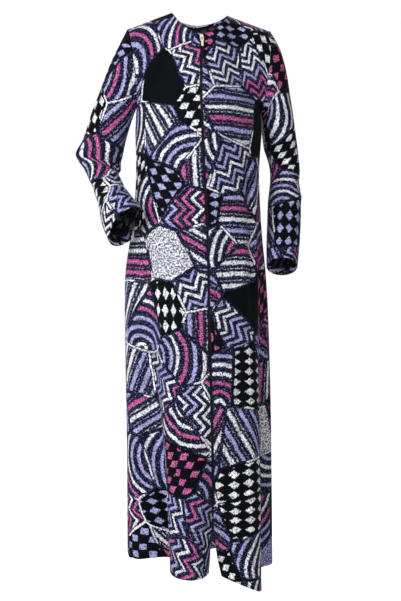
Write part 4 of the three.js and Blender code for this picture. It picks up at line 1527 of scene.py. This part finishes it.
NECK_SPANS = {
    "front_right": (FRONT_COLUMNS - NECK_COLUMNS[-1], FRONT_COLUMNS - 0.4),
    "front_left": (0.4, NECK_COLUMNS[-1]),
    "back": (BACK_HALF_COLUMNS - NECK_COLUMNS[1], BACK_HALF_COLUMNS + NECK_COLUMNS[1]),
}
WHOLE = (0, 1e9)
rows_sewn = []
for name, span in NECK_SPANS.items():
    rows_sewn.append(sew(stitch_line(laid[name], "top", NECK_STITCH, span)))
    rows_sewn.append(sew(stitch_line(laid[name], "bottom", HEM_STITCH, WHOLE)))
for name, side in (("front_right", "right"), ("front_left", "left")):
    rows_sewn.append(sew(stitch_line(laid[name], side, ZIP_STITCH, WHOLE)))
for name in ("sleeve_right", "sleeve_left"):
    rows_sewn.append(sew(stitch_line(laid[name], "top", CUFF_STITCH, WHOLE), closed=True))
sewn = np.concatenate(rows_sewn)
axes = (sewn[:, 3:6], sewn[:, 6:9], sewn[:, 9:12])
beads("edge_stitches", sewn[:, :3], axes, STITCH_SIZE, dark_thread)
print("stitches:", len(sewn))

# %% [markdown]
# ## What each piece was cut to
#
# A pattern cutter wants the flat size of each piece. Each one is laid here as it hangs, so its flat
# places are gathered from its cut, with all its turnings, one piece at a time.

for name, piece in laid.items():
    span = piece["cut"].reshape(-1, 2)

# %% [markdown]
# ## Floor and light
#
# The robe stands out against a plain pale studio. The floor is a large disc, and the world behind
# it is as pale, so no horizon shows.

# %% Studio
FLOOR_HEIGHT = -1.555
FLOOR_RADIUS = 30
FLOOR_COLOR = (0.92, 0.92, 0.92, 1)
# name, place, point it faces, width and height, power
LAMPS = [
    ("key", (-2.2, -2.4, 0.7), (0, 0, -0.6), (1.4, 2.0), 128),
    ("fill", (2.6, -1.8, 0.0), (0, 0, -0.8), (1.5, 2.0), 8),
    ("rim", (0.6, 2.6, 0.9), (0, 0, -0.6), (2.0, 1.0), 30),
]
# how strongly the world lights the robe, and how much the floor adds where the lens sees it
AMBIENT = 0.34
FLOOR_GLOW = 0.6


def pale_floor():
    bm = bmesh.new()
    bmesh.ops.create_circle(bm, cap_ends=True, segments=96, radius=FLOOR_RADIUS)
    bmesh.ops.translate(bm, verts=bm.verts, vec=(0, 0, FLOOR_HEIGHT))
    mesh = finished_mesh("floor", bm)
    material, w, shader = new_material("floor_paint")
    shader["Base Color"].default_value = FLOOR_COLOR
    shader["Roughness"].default_value = 0.7
    shader["Emission Color"].default_value = (1, 1, 1, 1)
    seen_floor = w.add("ShaderNodeLightPath").outputs["Is Camera Ray"]
    w.feed(shader["Emission Strength"], w.times(seen_floor, FLOOR_GLOW))
    mesh.materials.append(material)
    return linked("floor", mesh)


pale_floor()

world = bpy.data.worlds.new("studio")
world.use_nodes = True
scene.world = world
sky = Wiring(world.node_tree)
rays = sky.add("ShaderNodeLightPath").outputs
seen = sky.math("MAXIMUM", rays["Is Camera Ray"], rays["Is Glossy Ray"])
backdrop = world.node_tree.nodes["Background"].inputs
backdrop["Color"].default_value = (1, 1, 1, 1)
sky.feed(backdrop["Strength"], sky.choose(seen, AMBIENT, 1.0))


def soft_light(name, place, target, size, power):
    data = bpy.data.lights.new(name, "AREA")
    data.shape = "RECTANGLE"
    data.size = size[0]
    data.size_y = size[1]
    data.energy = power
    lamp = linked(name, data)
    lamp.location = place
    lamp.rotation_euler = (Vector(target) - Vector(place)).to_track_quat("-Z", "Y").to_euler()


for lamp_row in LAMPS:
    soft_light(*lamp_row)
scene.view_settings.view_transform = "Standard"
